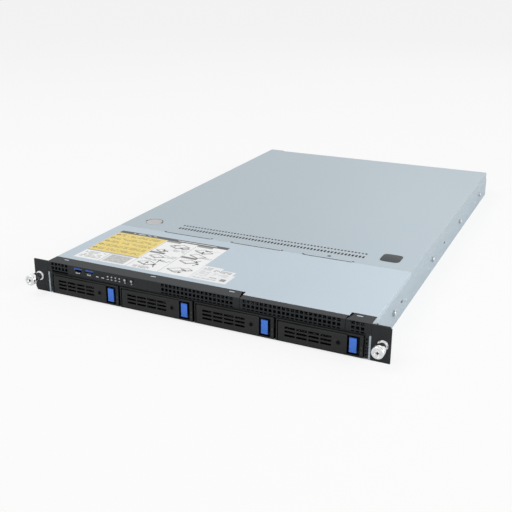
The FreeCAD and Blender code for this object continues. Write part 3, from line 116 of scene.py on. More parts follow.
class Finish:
    """One surface finish: a material with a Principled shader, whose nodes are added call by call."""

    def __init__(self, name, **sockets):
        self.material = bpy.data.materials.new(name)
        self.material.use_nodes = True
        self.tree = self.material.node_tree
        self.tree.nodes.clear()
        self.shader = self.tree.nodes.new("ShaderNodeBsdfPrincipled")
        self.output = self.tree.nodes.new("ShaderNodeOutputMaterial")
        self.tree.links.new(self.shader.outputs["BSDF"], self.output.inputs["Surface"])
        self.set(**sockets)

    def plug(self, socket, value):
        """Link a socket to an amount, or set it to a plain value or colour."""
        if isinstance(value, Amount):
            self.tree.links.new(value.socket, socket)
        elif socket.type == "RGBA" and len(value) == 3:
            socket.default_value = (*value, 1)
        else:
            socket.default_value = value

    def node(self, kind, settings, sockets, output=0):
        """Add a node with its settings and sockets, and give one of its outputs."""
        made = self.tree.nodes.new(kind)
        for name, value in settings.items():
            setattr(made, name, value)
        for name, value in sockets.items():
            self.plug(made.inputs[name], value)
        return Amount(self, made.outputs[output])

    def set(self, **sockets):
        """Set the shader's own sockets, with spaces written as underscores."""
        for name, value in sockets.items():
            self.plug(self.shader.inputs[name.replace("_", " ")], value)
        return self

    def place(self):
        return self.node("ShaderNodeTexCoord", {}, {}, "Object")

    def along(self, axis):
        return self.node("ShaderNodeSeparateXYZ", {}, {"Vector": self.place()}, axis)

    def noise(self, scale, detail=2, stretch=(1, 1, 1)):
        """Noise from 0 to 1; scale counts its features in a metre."""
        spot = self.node("ShaderNodeMapping", {}, {"Vector": self.place(), "Scale": stretch})
        return self.node("ShaderNodeTexNoise", {}, {"Vector": spot, "Scale": scale, "Detail": detail})

    def blend(self, factor, first, second):
        return self.node("ShaderNodeMix", {"data_type": "RGBA"}, {"Factor": factor, 6: first, 7: second}, 2)

    def soft_normal(self, radius):
        """The normal as if the edges had this radius."""
        return self.node("ShaderNodeBevel", {"samples": 6}, {"Radius": radius})

    def edge(self, radius):
        """1 on the edges, 0 on flat faces."""
        true = self.node("ShaderNodeNewGeometry", {}, {}, "Normal")
        agree = self.node("ShaderNodeVectorMath", {"operation": "DOT_PRODUCT"},
                          {0: self.soft_normal(radius), 1: true}, "Value")
        return ((1 - agree) * 6).clamped()

    def bump(self, height, depth, radius=0.0):
        """Raise the surface by a height map of this depth, on edges of this radius."""
        sockets = {"Height": height, "Distance": depth, "Strength": 1.0}
        if radius:
            sockets["Normal"] = self.soft_normal(radius)
        self.set(Normal=self.node("ShaderNodeBump", {}, sockets))
        return self

    def plated(self, colour, mottle, grained, rim, roughness):
        """Set roughness and bump to plated sheet's, and give its colour: patches, grain, edges partly bare
        and partly painted highlight.
        """
        patches, grain = self.noise(14, 3), self.noise(900, 2, (1, 0.06, 1))
        tinted = self.node("ShaderNodeVectorMath", {"operation": "SCALE"},
                           {0: colour, "Scale": 1 - mottle + patches * mottle + grain * grained})
        self.set(Roughness=roughness + patches * 0.1 + grain * 0.06)
        self.bump(grain, depth=0.02 * mm, radius=0.35 * mm)
        # The rim colour on the edges is partly bare cut steel, partly painted highlight.
        return self.blend(self.edge(radius=0.5 * mm) * 0.5, tinted, rim)

    def wear(self, *nodes):
        """Give this finish to CAD nodes."""
        for name in nodes:
            for holder in frame["nodes"][name].material_slots:
                holder.material = self.material
        return self


def sheet_steel(name, colour):
    """Satin plated sheet, with bright edges, partly bare cut steel and partly painted highlight."""
    finish = Finish(name, Metallic=0.45)
    return finish.set(Base_Color=finish.plated(
        colour, mottle=0.05, grained=0.05, rim=(0.86, 0.88, 0.9), roughness=0.36))


zinc = (0.415, 0.487, 0.535)
steel = sheet_steel("zinc_plated_steel", zinc)
steel.wear("chassis_base", "rear_panel", "drive_cage", "slot_covers", "rear_cover")
front_steel = sheet_steel("front_cover_steel", (0.49, 0.575, 0.64))
front_steel.wear("front_cover")


# Rail studs: eight mushroom-headed studs of turned steel, riveted through the side walls.
# A slide rail's keyholes drop over them.

crease = math.radians(35)       # faces that meet at more than this keep a sharp edge


def placed(name, data):
    """A new object in the scene."""
    made = bpy.data.objects.new(name, data)
    scene.collection.objects.link(made)
    return made


class Form:
    """A mesh in the making, in metres, in the object's own frame."""

    def __init__(self):
        self.mesh = bmesh.new()

    def prism(self, corners, low, high, along="z"):
        """An outline in two coordinates, drawn between two places on the third axis."""
        def place(u, v, w):
            return {"x": (w, u, v), "y": (u, w, v), "z": (u, v, w)}[along]
        ends = [[self.mesh.verts.new(place(u, v, w)) for u, v in corners] for w in (low, high)]
        faces = [self.mesh.faces.new(end) for end in ends]
        for i in range(len(corners)):
            j = (i + 1) % len(corners)
            faces.append(self.mesh.faces.new((ends[0][i], ends[0][j], ends[1][j], ends[1][i])))
        bmesh.ops.recalc_face_normals(self.mesh, faces=faces)

    def box(self, low, high):
        """A block between its lowest and its highest corner."""
        self.prism([(low[0], low[1]), (high[0], low[1]), (high[0], high[1]), (low[0], high[1])],
                   low[2], high[2])

    def lathe(self, profile, centre, along="y", steps=32):
        """A profile of (place along the axis, radius), turned about the axis through centre."""
        def place(distance, radius, turn):
            u, v = radius * math.cos(turn), radius * math.sin(turn)
            offset = {"x": (distance, u, v), "y": (u, distance, v), "z": (u, v, distance)}[along]
            return Vector(centre) + Vector(offset)
        rings = []
        for distance, radius in profile:
            count = steps if radius > 0 else 1
            rings.append([self.mesh.verts.new(place(distance, radius, math.tau * i / steps))
                          for i in range(count)])
        faces = []
        for near, far in zip(rings, rings[1:]):
            for i in range(steps):
                corners = list(dict.fromkeys([near[i % len(near)], near[(i + 1) % len(near)],
                                              far[(i + 1) % len(far)], far[i % len(far)]]))
                if len(corners) > 2:
                    faces.append(self.mesh.faces.new(corners))
        bmesh.ops.recalc_face_normals(self.mesh, faces=faces)

    def round(self, width, segments=2, shortest=0.0):
        """Round the sharp edges that are long enough to take it."""
        sharp = [edge for edge in self.mesh.edges if len(edge.link_faces) == 2
                 and edge.calc_face_angle() > crease and edge.calc_length() > max(shortest, 2.2 * width)]
        bmesh.ops.bevel(self.mesh, geom=sharp, offset=width, segments=segments, profile=0.5,
                        affect="EDGES", clamp_overlap=True)

    def piece(self, name, finish, body, replaces=()):
        """Finish the mesh as an object that rides on a body."""
        mesh = bpy.data.meshes.new(name)
        self.mesh.to_mesh(mesh)
        self.mesh.free()
        for layer in finish if isinstance(finish, list) else [finish]:
            mesh.materials.append(layer.material)
        mesh.shade_smooth()
        mesh.set_sharp_from_angle(angle=crease)
        made = placed(name, mesh)
        if replaces:
            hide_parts(*replaces)
        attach(made, body)


def metres(*points):
    """Points given in millimetres, such as a profile or two corners, in metres."""
    return [tuple(value * mm for value in point) for point in points]


def plain(name, colour, roughness, spread, scale, detail=2, **sockets):
    """One colour, its roughness raised by a fine noise up to this spread."""
    finish = Finish(name, Base_Color=colour, **sockets)
    return finish.set(Roughness=roughness + finish.noise(scale, detail) * spread)


turned_steel = plain("turned_steel", (0.62, 0.63, 0.64), 0.24, 0.14, 1500, 1, Metallic=1.0)
turned_steel.bump(turned_steel.noise(2200, 1), 0.01 * mm, 0.3 * mm)

stud_low, stud_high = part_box("rail_studs")
stud_neck, stud_head = 2.2 * mm, (stud_high.z - stud_low.z) / 2
stud_face, stud_root = stud_high.x, stud_high.x - 4 * mm
lip = stud_face - 1.2 * mm
dimple = stud_face - 0.25 * mm
stud_profile = [
    (stud_root, 0), (stud_root, stud_neck), (lip - 0.1 * mm, stud_neck), (lip, stud_head - 0.3 * mm),
    (lip + 0.3 * mm, stud_head), (stud_face - 0.4 * mm, stud_head), (stud_face, stud_head - 0.5 * mm),
    (stud_face, 1.0 * mm), (dimple, 0.7 * mm), (dimple, 0)]
stud_rows, stud_line = (90 * mm, 291 * mm, 482 * mm, 657 * mm), 18.5 * mm
studs = Form()
for sign in (-1, 1):
    for y in stud_rows:
        profile = [(sign * distance, radius) for distance, radius in stud_profile]
        studs.lathe(profile, (0, y, stud_line), "x", 28)
studs.piece("rail_studs_turned", turned_steel, "chassis", ["rail_studs"])


# Side rivets: small domed rivets join the wall to the cage and the fan wall inside.
# Each is a low button of bright steel.

class Shape:
    """A Geometry Nodes tree with named inputs, which ends as a plain mesh on a body."""

    def __init__(self, name, **inputs):
        self.tree = bpy.data.node_groups.new(name, "GeometryNodeTree")
        self.tree.is_modifier = True
        self.values = inputs
        for word, value in inputs.items():
            kind = {int: "NodeSocketInt", float: "NodeSocketFloat", tuple: "NodeSocketVector"}[type(value)]
            self.tree.interface.new_socket(word, in_out="INPUT", socket_type=kind)
        self.tree.interface.new_socket("Geometry", in_out="OUTPUT", socket_type="NodeSocketGeometry")
        self.given = self.tree.nodes.new("NodeGroupInput")

    def size(self, word):
        return self.given.outputs[word]

    def node(self, kind, settings=None, **sockets):
        """Add a node; a socket takes a value, a socket, a node's first output, or a list of them."""
        made = self.tree.nodes.new(kind)
        for name, value in (settings or {}).items():
            setattr(made, name, value)
        for name, value in sockets.items():
            socket = made.inputs[name.replace("_", " ")]
            for item in value if isinstance(value, list) else [value]:
                if isinstance(item, bpy.types.Node):
                    item = item.outputs[0]
                if isinstance(item, bpy.types.NodeSocket):
                    self.tree.links.new(item, socket)
                else:
                    socket.default_value = item
        return made

    def line(self):
        """Points from Start on, by Count and Pitch."""
        return self.node("GeometryNodeMeshLine", {"mode": "OFFSET"}, Count=self.size("Count"),
                         Start_Location=self.size("Start"), Offset=self.size("Pitch"))

    def piece(self, name, geometry, finish, body):
        """Make the tree's result a plain mesh that rides on a body."""
        solid = self.node("GeometryNodeRealizeInstances", Geometry=geometry)
        painted = self.node("GeometryNodeSetMaterial", Geometry=solid, Material=finish.material)
        last = self.tree.nodes.new("NodeGroupOutput")
        self.tree.links.new(painted.outputs[0], last.inputs["Geometry"])
        carrier = placed(name, bpy.data.meshes.new(name))
        maker = carrier.modifiers.new("made", "NODES")
        maker.node_group = self.tree
        for item in self.tree.interface.items_tree:
            if item.item_type == "SOCKET" and item.in_out == "INPUT":
                maker[item.identifier] = self.values[item.name]
        bpy.context.view_layer.update()
        made = carrier.evaluated_get(bpy.context.evaluated_depsgraph_get())
        mesh = bpy.data.meshes.new_from_object(made)
        carrier.modifiers.clear()
        carrier.data = mesh
        mesh.shade_smooth()
        mesh.set_sharp_from_angle(angle=crease)
        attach(carrier, body)


wall_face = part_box("chassis_base")[1].x


def rivet_row(name, count, start, pitch, radius, height, turn):
    """A straight row of domed heads on the case; turn lays their axis from +Z onto the wall's normal."""
    row = Shape(name, Count=count, Start=start, Pitch=pitch, Radius=radius, Height=height)
    ball = row.node("GeometryNodeMeshUVSphere", Segments=16, Rings=8, Radius=row.size("Radius"))
    share = row.node("ShaderNodeMath", {"operation": "DIVIDE"}, Value=row.size("Height"))
    row.tree.links.new(row.size("Radius"), share.inputs[1])
    dome = row.node("GeometryNodeTransform", Geometry=ball,
                    Scale=row.node("ShaderNodeCombineXYZ", X=1.0, Y=1.0, Z=share))
    copies = row.node("GeometryNodeInstanceOnPoints", Points=row.line(), Instance=dome,
                      Rotation=row.node("FunctionNodeEulerToRotation", Euler=turn))
    row.piece(name, copies, turned_steel, "chassis")


rivet_radius, rivet_height = 1.9 * mm, 0.5 * mm
first_rivet, rivet_line, rivet_pitch = 150 * mm, 12 * mm, 118 * mm
sides = (("left", -1), ("right", 1))
for side, sign in sides:
    rivet_row(f"wall_rivets_{side}", 5, (sign * wall_face, first_rivet, rivet_line), (0, rivet_pitch, 0),
              rivet_radius, rivet_height, (0, sign * math.pi / 2, 0))


# Boards: main board, power board, memory and drive backplane, in green laminate under a satin solder mask.
# Chips, coils and sockets of black plastic and tinned steel stand on them.

def laminate(name, axis, face, sign=1):
    """Solder mask up to the board's face, and components beyond it."""
    finish = Finish(name, Coat_Weight=0.3)
    tracks = finish.node("ShaderNodeTexBrick", {}, {
        "Vector": finish.place(), "Scale": 90.0, "Color1": (0.02, 0.16, 0.07),
        "Color2": (0.025, 0.2, 0.085), "Mortar": (0.05, 0.28, 0.13), "Mortar Size": 0.02})
    blocks = finish.node("ShaderNodeTexVoronoi", {}, {"Vector": finish.place(), "Scale": 45.0}, "Color")
    parts = finish.blend(blocks.channel(0) > 0.72, (0.018, 0.018, 0.02), (0.32, 0.33, 0.33))
    beyond = (finish.along(axis) - face) * sign > 0
    finish.set(Base_Color=finish.blend(beyond, tracks, parts), Roughness=0.42 + finish.noise(300) * 0.1)
    return finish


# Each with the axis across it, the corner of its box to start from, the depth from there and its free side.
for name, node, axis, corner, depth, free in (
        ("main", "main_board", 2, 0, 1.7, 1), ("power", "power_board", 1, 1, -4.5, 1),
        ("memory", "memory_modules", 2, 0, 7, -1), ("backplane", "drive_backplane", 1, 1, -2.1, -1)):
    laminate(f"{name}_laminate", axis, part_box(node)[corner][axis] + depth * mm, free).wear(node)
fins = sheet_steel("cooler_aluminium", (0.72, 0.73, 0.75))
fins.wear("heatsinks")


# Fans: six square frames with bladed rotors, moulded in black glass-filled nylon.
# They stand in a row behind the drives and blow to the rear.

def moulded(name, colour, roughness, grain_size=1400, depth=0.03, shade_behind=None):
    """Spark-eroded plastic, with a painted highlight on its edges, and painted shade, nearly black, behind
    a plane across Y.
    """
    finish = Finish(name, Base_Color=colour)
    grain = finish.noise(grain_size, 2)
    # Paler edges: a painted highlight.
    shade = finish.blend(finish.edge(0.4 * mm) * 0.35, colour, tuple(min(1, c * 2.4) for c in colour))
    if shade_behind is not None:
        # Behind the plane the colour is nearly black: painted shade.
        shade = finish.blend(finish.along(1) > shade_behind, shade, tuple(c * 0.12 for c in colour))
    finish.set(Base_Color=shade, Roughness=roughness - 0.06 + grain * 0.12)
    return finish.bump(grain, depth * mm)


fan_nylon = moulded("fan_nylon", (0.024, 0.025, 0.027), 0.4)
fan_nylon.wear("fan_housings")
blade_nylon = moulded("blade_nylon", (0.035, 0.036, 0.038), 0.3)
blade_nylon.wear(*[f"fan_rotor_{number}" for number in range(1, 7)])


# Black sheet: front panel, vent panel and ears, folded steel with a fine powder coat.
# The coat is neutral, with a fine grain that softens the light, and paler on the edges: thinner coat and
# painted highlight.

def powder_coat(name, colour):
    """Fine powder coat, paler on the edges, where it thins and where a highlight is painted."""
    finish = Finish(name, Base_Color=colour)
    grain = finish.noise(1700, 2)
    patches = finish.noise(30, 2)
    # Paler edges: partly thin coat, partly painted highlight.
    thin_and_lit_edges = finish.blend(finish.edge(0.35 * mm) * 0.55, colour, tuple(min(1, c * 3.2) for c in colour))
    finish.set(Base_Color=finish.blend(patches * 0.4, thin_and_lit_edges, tuple(c * 0.8 for c in colour)),
               Roughness=0.48 + grain * 0.14)
    return finish.bump(grain, 0.05 * mm, 0.3 * mm)


black_coat = powder_coat("black_powder_coat", (0.016, 0.019, 0.021)).set(Specular_IOR_Level=0.3)
black_coat.wear("vent_panel")


def cad_form(name):
    """The mesh of a CAD node again, with whole faces in place of its triangles."""
    form = Form()
    form.mesh.from_mesh(frame["nodes"][name].data)
    bmesh.ops.remove_doubles(form.mesh, verts=form.mesh.verts, dist=2e-6)
    bmesh.ops.dissolve_limit(form.mesh, angle_limit=math.radians(1), verts=form.mesh.verts,
                             edges=form.mesh.edges)
    return form


def split(form, y, behind=False):
    """Cut a form across at y; the part behind is taken off unless it is asked for."""
    cut = bmesh.ops.bisect_plane(form.mesh, geom=[*form.mesh.verts, *form.mesh.edges, *form.mesh.faces],
                                 plane_co=(0, y, 0), plane_no=(0, 1, 0), clear_outer=not behind)
    if not behind:
        rim = [part for part in cut["geom_cut"] if isinstance(part, bmesh.types.BMEdge)]
        bmesh.ops.edgeloop_fill(form.mesh, edges=rim)


coat_end, ear_end = 1 * mm, 20 * mm
panel_sheet = cad_form("front_panel")
split(panel_sheet, coat_end, behind=True)
for face in panel_sheet.mesh.faces:
    spot = face.calc_center_median()
    if abs(face.normal.x) > 0.9 and abs(spot.x) > wall_face - 0.1 * mm and spot.y > coat_end:
        face.material_index = 1
panel_sheet.piece("panel_sheet", [black_coat, steel], "chassis", ["front_panel"])
for side in ("left", "right"):
    ear = cad_form(f"rack_ear_{side}")
    split(ear, ear_end)
    ear.piece(f"ear_sheet_{side}", black_coat, "chassis", [f"rack_ear_{side}"])


# Front ports: a board behind the panel, with two pressed shells, clear light guides and black switches.
# Each shell holds a blue tongue in its upper half, with a row of gold contacts.

nickel = plain("nickel_plate", (0.82, 0.825, 0.83), 0.14, 0.05, 400, 1, Metallic=1.0)
nickel.bump(nickel.noise(1800, 1), 0.003 * mm, 0.3 * mm)
shell_steel = plain("shell_steel", (0.1, 0.1, 0.105), 0.36, 0.1, 500, Metallic=0.9)
gold = plain("gold_plate", (0.83, 0.6, 0.26), 0.25, 0.12, 900, Metallic=1.0)
tongue_blue = moulded("tongue_blue", (0.012, 0.12, 0.62), 0.32, 900, 0.01)
switch_black = moulded("switch_black", (0.02, 0.02, 0.021), 0.4)
clear_guide = Finish("clear_guide", IOR=1.49, Coat_Weight=0.4)
clear_guide.set(Base_Color=clear_guide.blend(clear_guide.noise(220), (0.5, 0.53, 0.54), (0.62, 0.65, 0.66)),
                Roughness=0.12 + clear_guide.noise(600) * 0.1)


def solids(mesh):
    """The separate solids of a mesh, each as its faces and its size."""
    left = set(mesh.verts)
    while left:
        waiting = [left.pop()]
        found = set(waiting)
        while waiting:
            for edge in waiting.pop().link_edges:
                for vert in edge.verts:
                    if vert in left:
                        left.remove(vert)
                        found.add(vert)
                        waiting.append(vert)
        size = [max(v.co[i] for v in found) - min(v.co[i] for v in found) for i in range(3)]
        yield {face for vert in found for face in vert.link_faces}, size


front_board_top = 35.7 * mm
port_finishes = [laminate("front_laminate", 2, front_board_top), shell_steel, clear_guide, switch_black]
port_board = cad_form("front_io_board")
for faces, (wide, deep, tall) in solids(port_board.mesh):
    if wide > 60 * mm:
        kind = 0                                # the board
    elif deep > 12 * mm:
        kind = 1                                # a shell
    else:
        kind = 2 if wide > 12 * mm else 3       # a light guide, or a switch
    for face in faces:
        face.material_index = kind
port_board.piece("front_port_board", port_finishes, "chassis", ["front_io_board"])
panel_face = -2 * mm
front_ports, port_middle = (-171 * mm, -153.5 * mm), 38.6 * mm
tongue_half, tongue_root, tongue_round = 5.9 * mm, 11 * mm, 0.2 * mm
tongues = Form()
for x in front_ports:
    tongues.box((x - tongue_half, panel_face + 0.5 * mm, port_middle + 0.5 * mm),
                (x + tongue_half, tongue_root, port_middle + 2.3 * mm))
tongues.round(tongue_round, 2)
tongues.piece("port_tongues", tongue_blue, "chassis")


def strip_row(name, count, start, pitch, size, finish, body):
    """A straight row of small strips, such as contacts or pins."""
    row = Shape(name, Count=count, Start=start, Pitch=pitch, Size=size)
    strip = row.node("GeometryNodeMeshCube", Size=row.size("Size"))
    copies = row.node("GeometryNodeInstanceOnPoints", Points=row.line(), Instance=strip)
    row.piece(name, copies, finish, body)


contact_pitch, contact_size = 2.2 * mm, (1.1 * mm, 5.6 * mm, 0.12 * mm)
for number, x in enumerate(front_ports, 1):
    strip_row(f"port_contacts_{number}", 4, (x - 3.3 * mm, 3.2 * mm, port_middle + 0.45 * mm),
              (contact_pitch, 0, 0), contact_size, gold, "chassis")


# Control marks: plain white bars and rings in screen-printed ink on the panel's black coat.
# They stand under the ports, pinholes, lights and buttons.

mark_white = plain("mark_white", (0.72, 0.73, 0.73), 0.5, 0.1, 1500)
ink_proud = 0.03 * mm
marks = Form()


def bar_mark(x, z, wide, tall):
    """A flat mark with round ends, on the panel's face."""
    corners = []
    for end, start in ((1, 0), (-1, math.pi)):
        for i in range(9):
            turn = math.radians(-90 + 22.5 * i) + start
            corners.append((x + end * (wide - tall) / 2 + tall / 2 * math.cos(turn),
                            z + tall / 2 * math.sin(turn)))
    marks.prism(corners, panel_face - ink_proud, panel_face, "y")


def arc_pieces(middle, radius, wide, turn=math.tau, count=24):
    """The outlines of the short pieces that make a flat ring, or an arc from +X on."""
    for i in range(count):
        turns = [turn * (i + step) / count for step in (0, 1)]
        yield [(middle[0] + r * math.cos(t), middle[1] + r * math.sin(t))
               for r, order in ((radius, turns), (radius - wide, turns[::-1])) for t in order]


mark_line, ring_radius, ring_wide = 34.4 * mm, 1.0 * mm, 0.4 * mm
pinholes = (-140.7 * mm, -132.1 * mm)
light_left, light_pitch = -124.7, 5.87
button_places = {"power_button": -98.8 * mm, "id_button": -89.1 * mm}
for x in front_ports:
    bar_mark(x, mark_line, 6.4 * mm, 0.7 * mm)
    for step in (-1, 0, 1):
        bar_mark(x + step * 2.3 * mm, mark_line + 1.0 * mm, 1.5 * mm, 0.6 * mm)
for x in pinholes:
    bar_mark(x, mark_line + 0.5 * mm, 4.0 * mm, 1.2 * mm)
for number in range(4):
    bar_mark((light_left + light_pitch * number) * mm, mark_line, 2.6 * mm, 0.9 * mm)
for x in button_places.values():
    for corners in arc_pieces((x, mark_line - 0.2 * mm), ring_radius, ring_wide):
        marks.prism(corners, panel_face - ink_proud, panel_face, "y")
marks.piece("control_marks", mark_white, "chassis")


# Buttons: two round caps, each a pale disc ringed in black, which is painted shade of the hole the cap sits
# in; and two black pins behind pinholes.
# They are moulded, and sit on springs behind the panel.

button_line, disc_radius = 38 * mm, 1.5 * mm
for name, middle in button_places.items():
    cap = Finish(f"{name}_cap")
    across, up = cap.along(0) - middle, cap.along(2) - button_line
    pale_disc_in_shade = (across * across + up * up) < disc_radius ** 2
    # Round the pale disc the cap is black: painted shade of the hole round it.
    cap.set(Base_Color=cap.blend(pale_disc_in_shade, (0.012, 0.012, 0.012), (0.5, 0.51, 0.51)),
            Roughness=0.32 + cap.noise(900) * 0.1)
    cap.bump(cap.noise(1400), 0.01 * mm, 0.25 * mm).wear(name)
switch_black.wear("reset_button", "nmi_button")


# Captive screws: turned and nickel-plated, each a grooved knob around a head whose cross recess is painted
# shade.
# A flanged barrel pressed into the ear, with a ring inside, keeps each screw in its place.

lock_black = moulded("lock_black", (0.002, 0.002, 0.002), 0.6).set(Specular_IOR_Level=0.12)
body_of_node = {node: body for body, nodes in frame["record"]["behaviour"]["bodies"].items()
                for node in nodes}


def rounded(name, width, finish, new_name, segments, shortest):
    """A CAD node again, with real rounds along its longer edges."""
    form = cad_form(name)
    form.round(width, segments, shortest)
    form.piece(new_name, finish, body_of_node[name], [name])


screw_out, screw_line = 232.55 * mm, 21.4 * mm
cross_arm, cross_half, cross_front, cross_root = 1.9 * mm, 0.55 * mm, -23.63 * mm, -23.3 * mm
# The knob's outline from the middle of its face, round its rim and hollow, to the tip: (Y, radius).
knob_profile = metres(
    (-23.6, 0), (-23.5, 1.7), (-23.2, 3), (-22.9, 3.5), (-22.7, 3.5), (-22.7, 4.5), (-23.8, 4.6),
    (-24, 4.8), (-24, 6.3), (-23.7, 6.8), (-23.3, 7), (-22.1, 7), (-21.9, 6.8), (-21.8, 5.8),
    (-20.8, 5.8), (-20.7, 6.8), (-20.4, 7), (-13.1, 7), (-12.7, 6.8), (-12.6, 6.4), (-12.6, 5.3),
    (-12.8, 5.1), (-22, 5.1), (-22, 2.1), (0.3, 2.1), (0.3, 2.5), (3.4, 2.5), (4, 1.9), (4, 0))
for side, sign in sides:
    screw_x = sign * screw_out
    knob = Form()
    knob.lathe(knob_profile, (screw_x, 0, screw_line), "y", 48)
    knob.piece(f"screw_knob_{side}", nickel, f"screw_{side}", [f"thumbscrew_{side}"])
    # The cross recess is not cut: a thin black cross on the head's face is its painted shade.
    recess_shade = Form()
    for wide, tall in ((cross_arm, cross_half), (cross_half, cross_arm)):
        recess_shade.box((screw_x - wide, cross_front, screw_line - tall),
                  (screw_x + wide, cross_root, screw_line + tall))
    recess_shade.piece(f"screw_recess_shade_{side}", lock_black, f"screw_{side}")
nickel.wear("screw_retainers", "stop_ring_left", "stop_ring_right")


# Trays and levers: moulded in black glass-filled nylon, with a fine spark-eroded texture.
# A blue press tab frees the lever, and a small slotted lock holds it shut.

# Behind the bezel's and the lever's front faces the nylon is nearly black: painted shade, as in deep slots.
bezel_face, lever_face = -4.5 * mm, -4.75 * mm
tray_nylon = moulded("tray_nylon", (0.014, 0.015, 0.0155), 0.5, shade_behind=bezel_face)
lever_nylon = moulded("lever_nylon", (0.017, 0.0175, 0.018), 0.52, shade_behind=lever_face)
for nylon in (tray_nylon, lever_nylon):
    nylon.set(Specular_IOR_Level=0.3)
latch_blue = moulded("latch_blue", (0.05, 0.2, 0.78), 0.3, 900, 0.01)
lens_smoke = plain("lens_smoke", (0.03, 0.034, 0.034), 0.1, 0.08, 800, IOR=1.5, Coat_Weight=0.5)
drive_metal = sheet_steel("drive_aluminium", (0.5, 0.51, 0.53))

tray_left = {number: (-211.3 + 106.4 * (number - 1)) * mm for number in range(1, 5)}
lens_right, lens_front, lens_low, lens_pitch = 101.6 * mm, -4.62 * mm, 7.8 * mm, 6 * mm
lens_size = (1.5 * mm, 0.4 * mm, 2.5 * mm)
for number, left in tray_left.items():
    rounded(f"drive_tray_{number}", 0.35 * mm, tray_nylon, f"tray_bezel_{number}", 2, 2 * mm)
    rounded(f"tray_lever_{number}", 0.45 * mm, lever_nylon, f"lever_grille_{number}", 2, 2 * mm)
    rounded(f"tray_latch_{number}", 0.5 * mm, latch_blue, f"latch_tab_{number}", 3, 1.5 * mm)
    lock_black.wear(f"tray_lock_{number}")
    drive_metal.wear(f"hard_drive_{number}")
    strip_row(f"tray_lenses_{number}", 2, (left + lens_right, lens_front, lens_low), (0, 0, lens_pitch),
              lens_size, lens_smoke, f"tray_{number}")


# Tray gauze: a thin black sheet, punched with a grid of square holes.
# It closes each tray's air window behind the lever, and keeps its radio noise in.

def gauze(name, columns, rows, cell, open_share, thick, place, finish, body):
    """An upright sheet with a grid of square holes; place is the middle of its front face."""
    sheet = Shape(name, Columns=columns, Rows=rows, Cell=cell, Open=open_share, Thick=thick, Place=place)

    def plus_one(word):
        step = sheet.node("ShaderNodeMath", {"operation": "ADD"}, Value=sheet.size(word))
        step.inputs[1].default_value = 1
        return step

    def cells(word):
        step = sheet.node("ShaderNodeMath", {"operation": "MULTIPLY"}, Value=sheet.size(word))
        sheet.tree.links.new(sheet.size("Cell"), step.inputs[1])
        return step
    grid = sheet.node("GeometryNodeMeshGrid", Size_X=cells("Columns"), Size_Y=cells("Rows"),
                      Vertices_X=plus_one("Columns"), Vertices_Y=plus_one("Rows"))
    inset = sheet.node("GeometryNodeExtrudeMesh", {"mode": "FACES"}, Mesh=grid, Offset_Scale=0.0,
                       Individual=True)
    middle_faces = inset.outputs["Top"]
    shrunk = sheet.node("GeometryNodeScaleElements", {"domain": "FACE"}, Geometry=inset,
                        Selection=middle_faces, Scale=sheet.size("Open"))
    holed = sheet.node("GeometryNodeDeleteGeometry", {"domain": "FACE"}, Geometry=shrunk,
                       Selection=middle_faces)
    merged = sheet.node("GeometryNodeMergeByDistance", Geometry=holed, Distance=merge_gap)
    backed = sheet.node("GeometryNodeExtrudeMesh", {"mode": "FACES"}, Mesh=merged,
                        Offset_Scale=sheet.size("Thick"), Individual=False)
    front = sheet.node("GeometryNodeFlipFaces", Mesh=merged)
    whole = sheet.node("GeometryNodeJoinGeometry", Geometry=[backed, front])
    closed = sheet.node("GeometryNodeMergeByDistance", Geometry=whole, Distance=merge_gap)
    upright = sheet.node("GeometryNodeTransform", Geometry=closed, Translation=sheet.size("Place"),
                         Rotation=(-math.pi / 2, 0, 0))
    sheet.piece(name, upright, finish, body)


gauze_black = plain("gauze_black", (0.002, 0.002, 0.002), 0.6, 0.2, 900, Specular_IOR_Level=0.12)
merge_gap = 1e-6
hole_pitch, hole_share, gauze_thick = 1.85 * mm, 0.62, 0.4 * mm
gauze_middle, gauze_front, gauze_line = 39 * mm, 0.6 * mm, 14.9 * mm
for number, left in tray_left.items():
    gauze(f"tray_gauze_{number}", 34, 9, hole_pitch, hole_share, gauze_thick,
          (left + gauze_middle, gauze_front, gauze_line), gauze_black, f"tray_{number}")


# Service sheet and parts label: printed films on the fixed cover, with a dark head and a yellow panel.
# Blocks of colour and rows of short bars fill them, and nothing on them can be read.

def within(x, y, low, high):
    """1 between two corners given in millimetres, 0 elsewhere."""
    return (x > low[0] * mm) * (x < high[0] * mm) * (y > low[1] * mm) * (y < high[1] * mm)


def printed(name, paper, blocks, rows):
    """A film with blocks: (low, high, ink), and rows of short bars: (low, high, pitch, ink)."""
    finish = Finish(name, Coat_Weight=0.15)
    x, y = finish.along(0), finish.along(1)
    colour = finish.blend(finish.noise(60) * 0.3, paper, tuple(c * 0.93 for c in paper))
    for low, high, shade in blocks:
        colour = finish.blend(within(x, y, low, high), colour, shade)
    for number, (low, high, pitch, ink) in enumerate(rows):
        row = (y - low[1] * mm) / (pitch * mm)
        share = row.part()
        spot = finish.node("ShaderNodeCombineXYZ", {}, {0: x, 1: row.whole() * 0.37 + number * 1.7})
        breaks = finish.node("ShaderNodeTexNoise", {},
                             {"Vector": spot, "Scale": 900.0 / (pitch * 1.6), "Detail": 0.0})
        stroke = (share > 0.3) * (share < 0.75) * (breaks > 0.44)
        colour = finish.blend(within(x, y, low, high) * stroke * 0.85, colour, ink)
    finish.set(Base_Color=colour, Roughness=0.4 + finish.noise(500) * 0.08)
    return finish


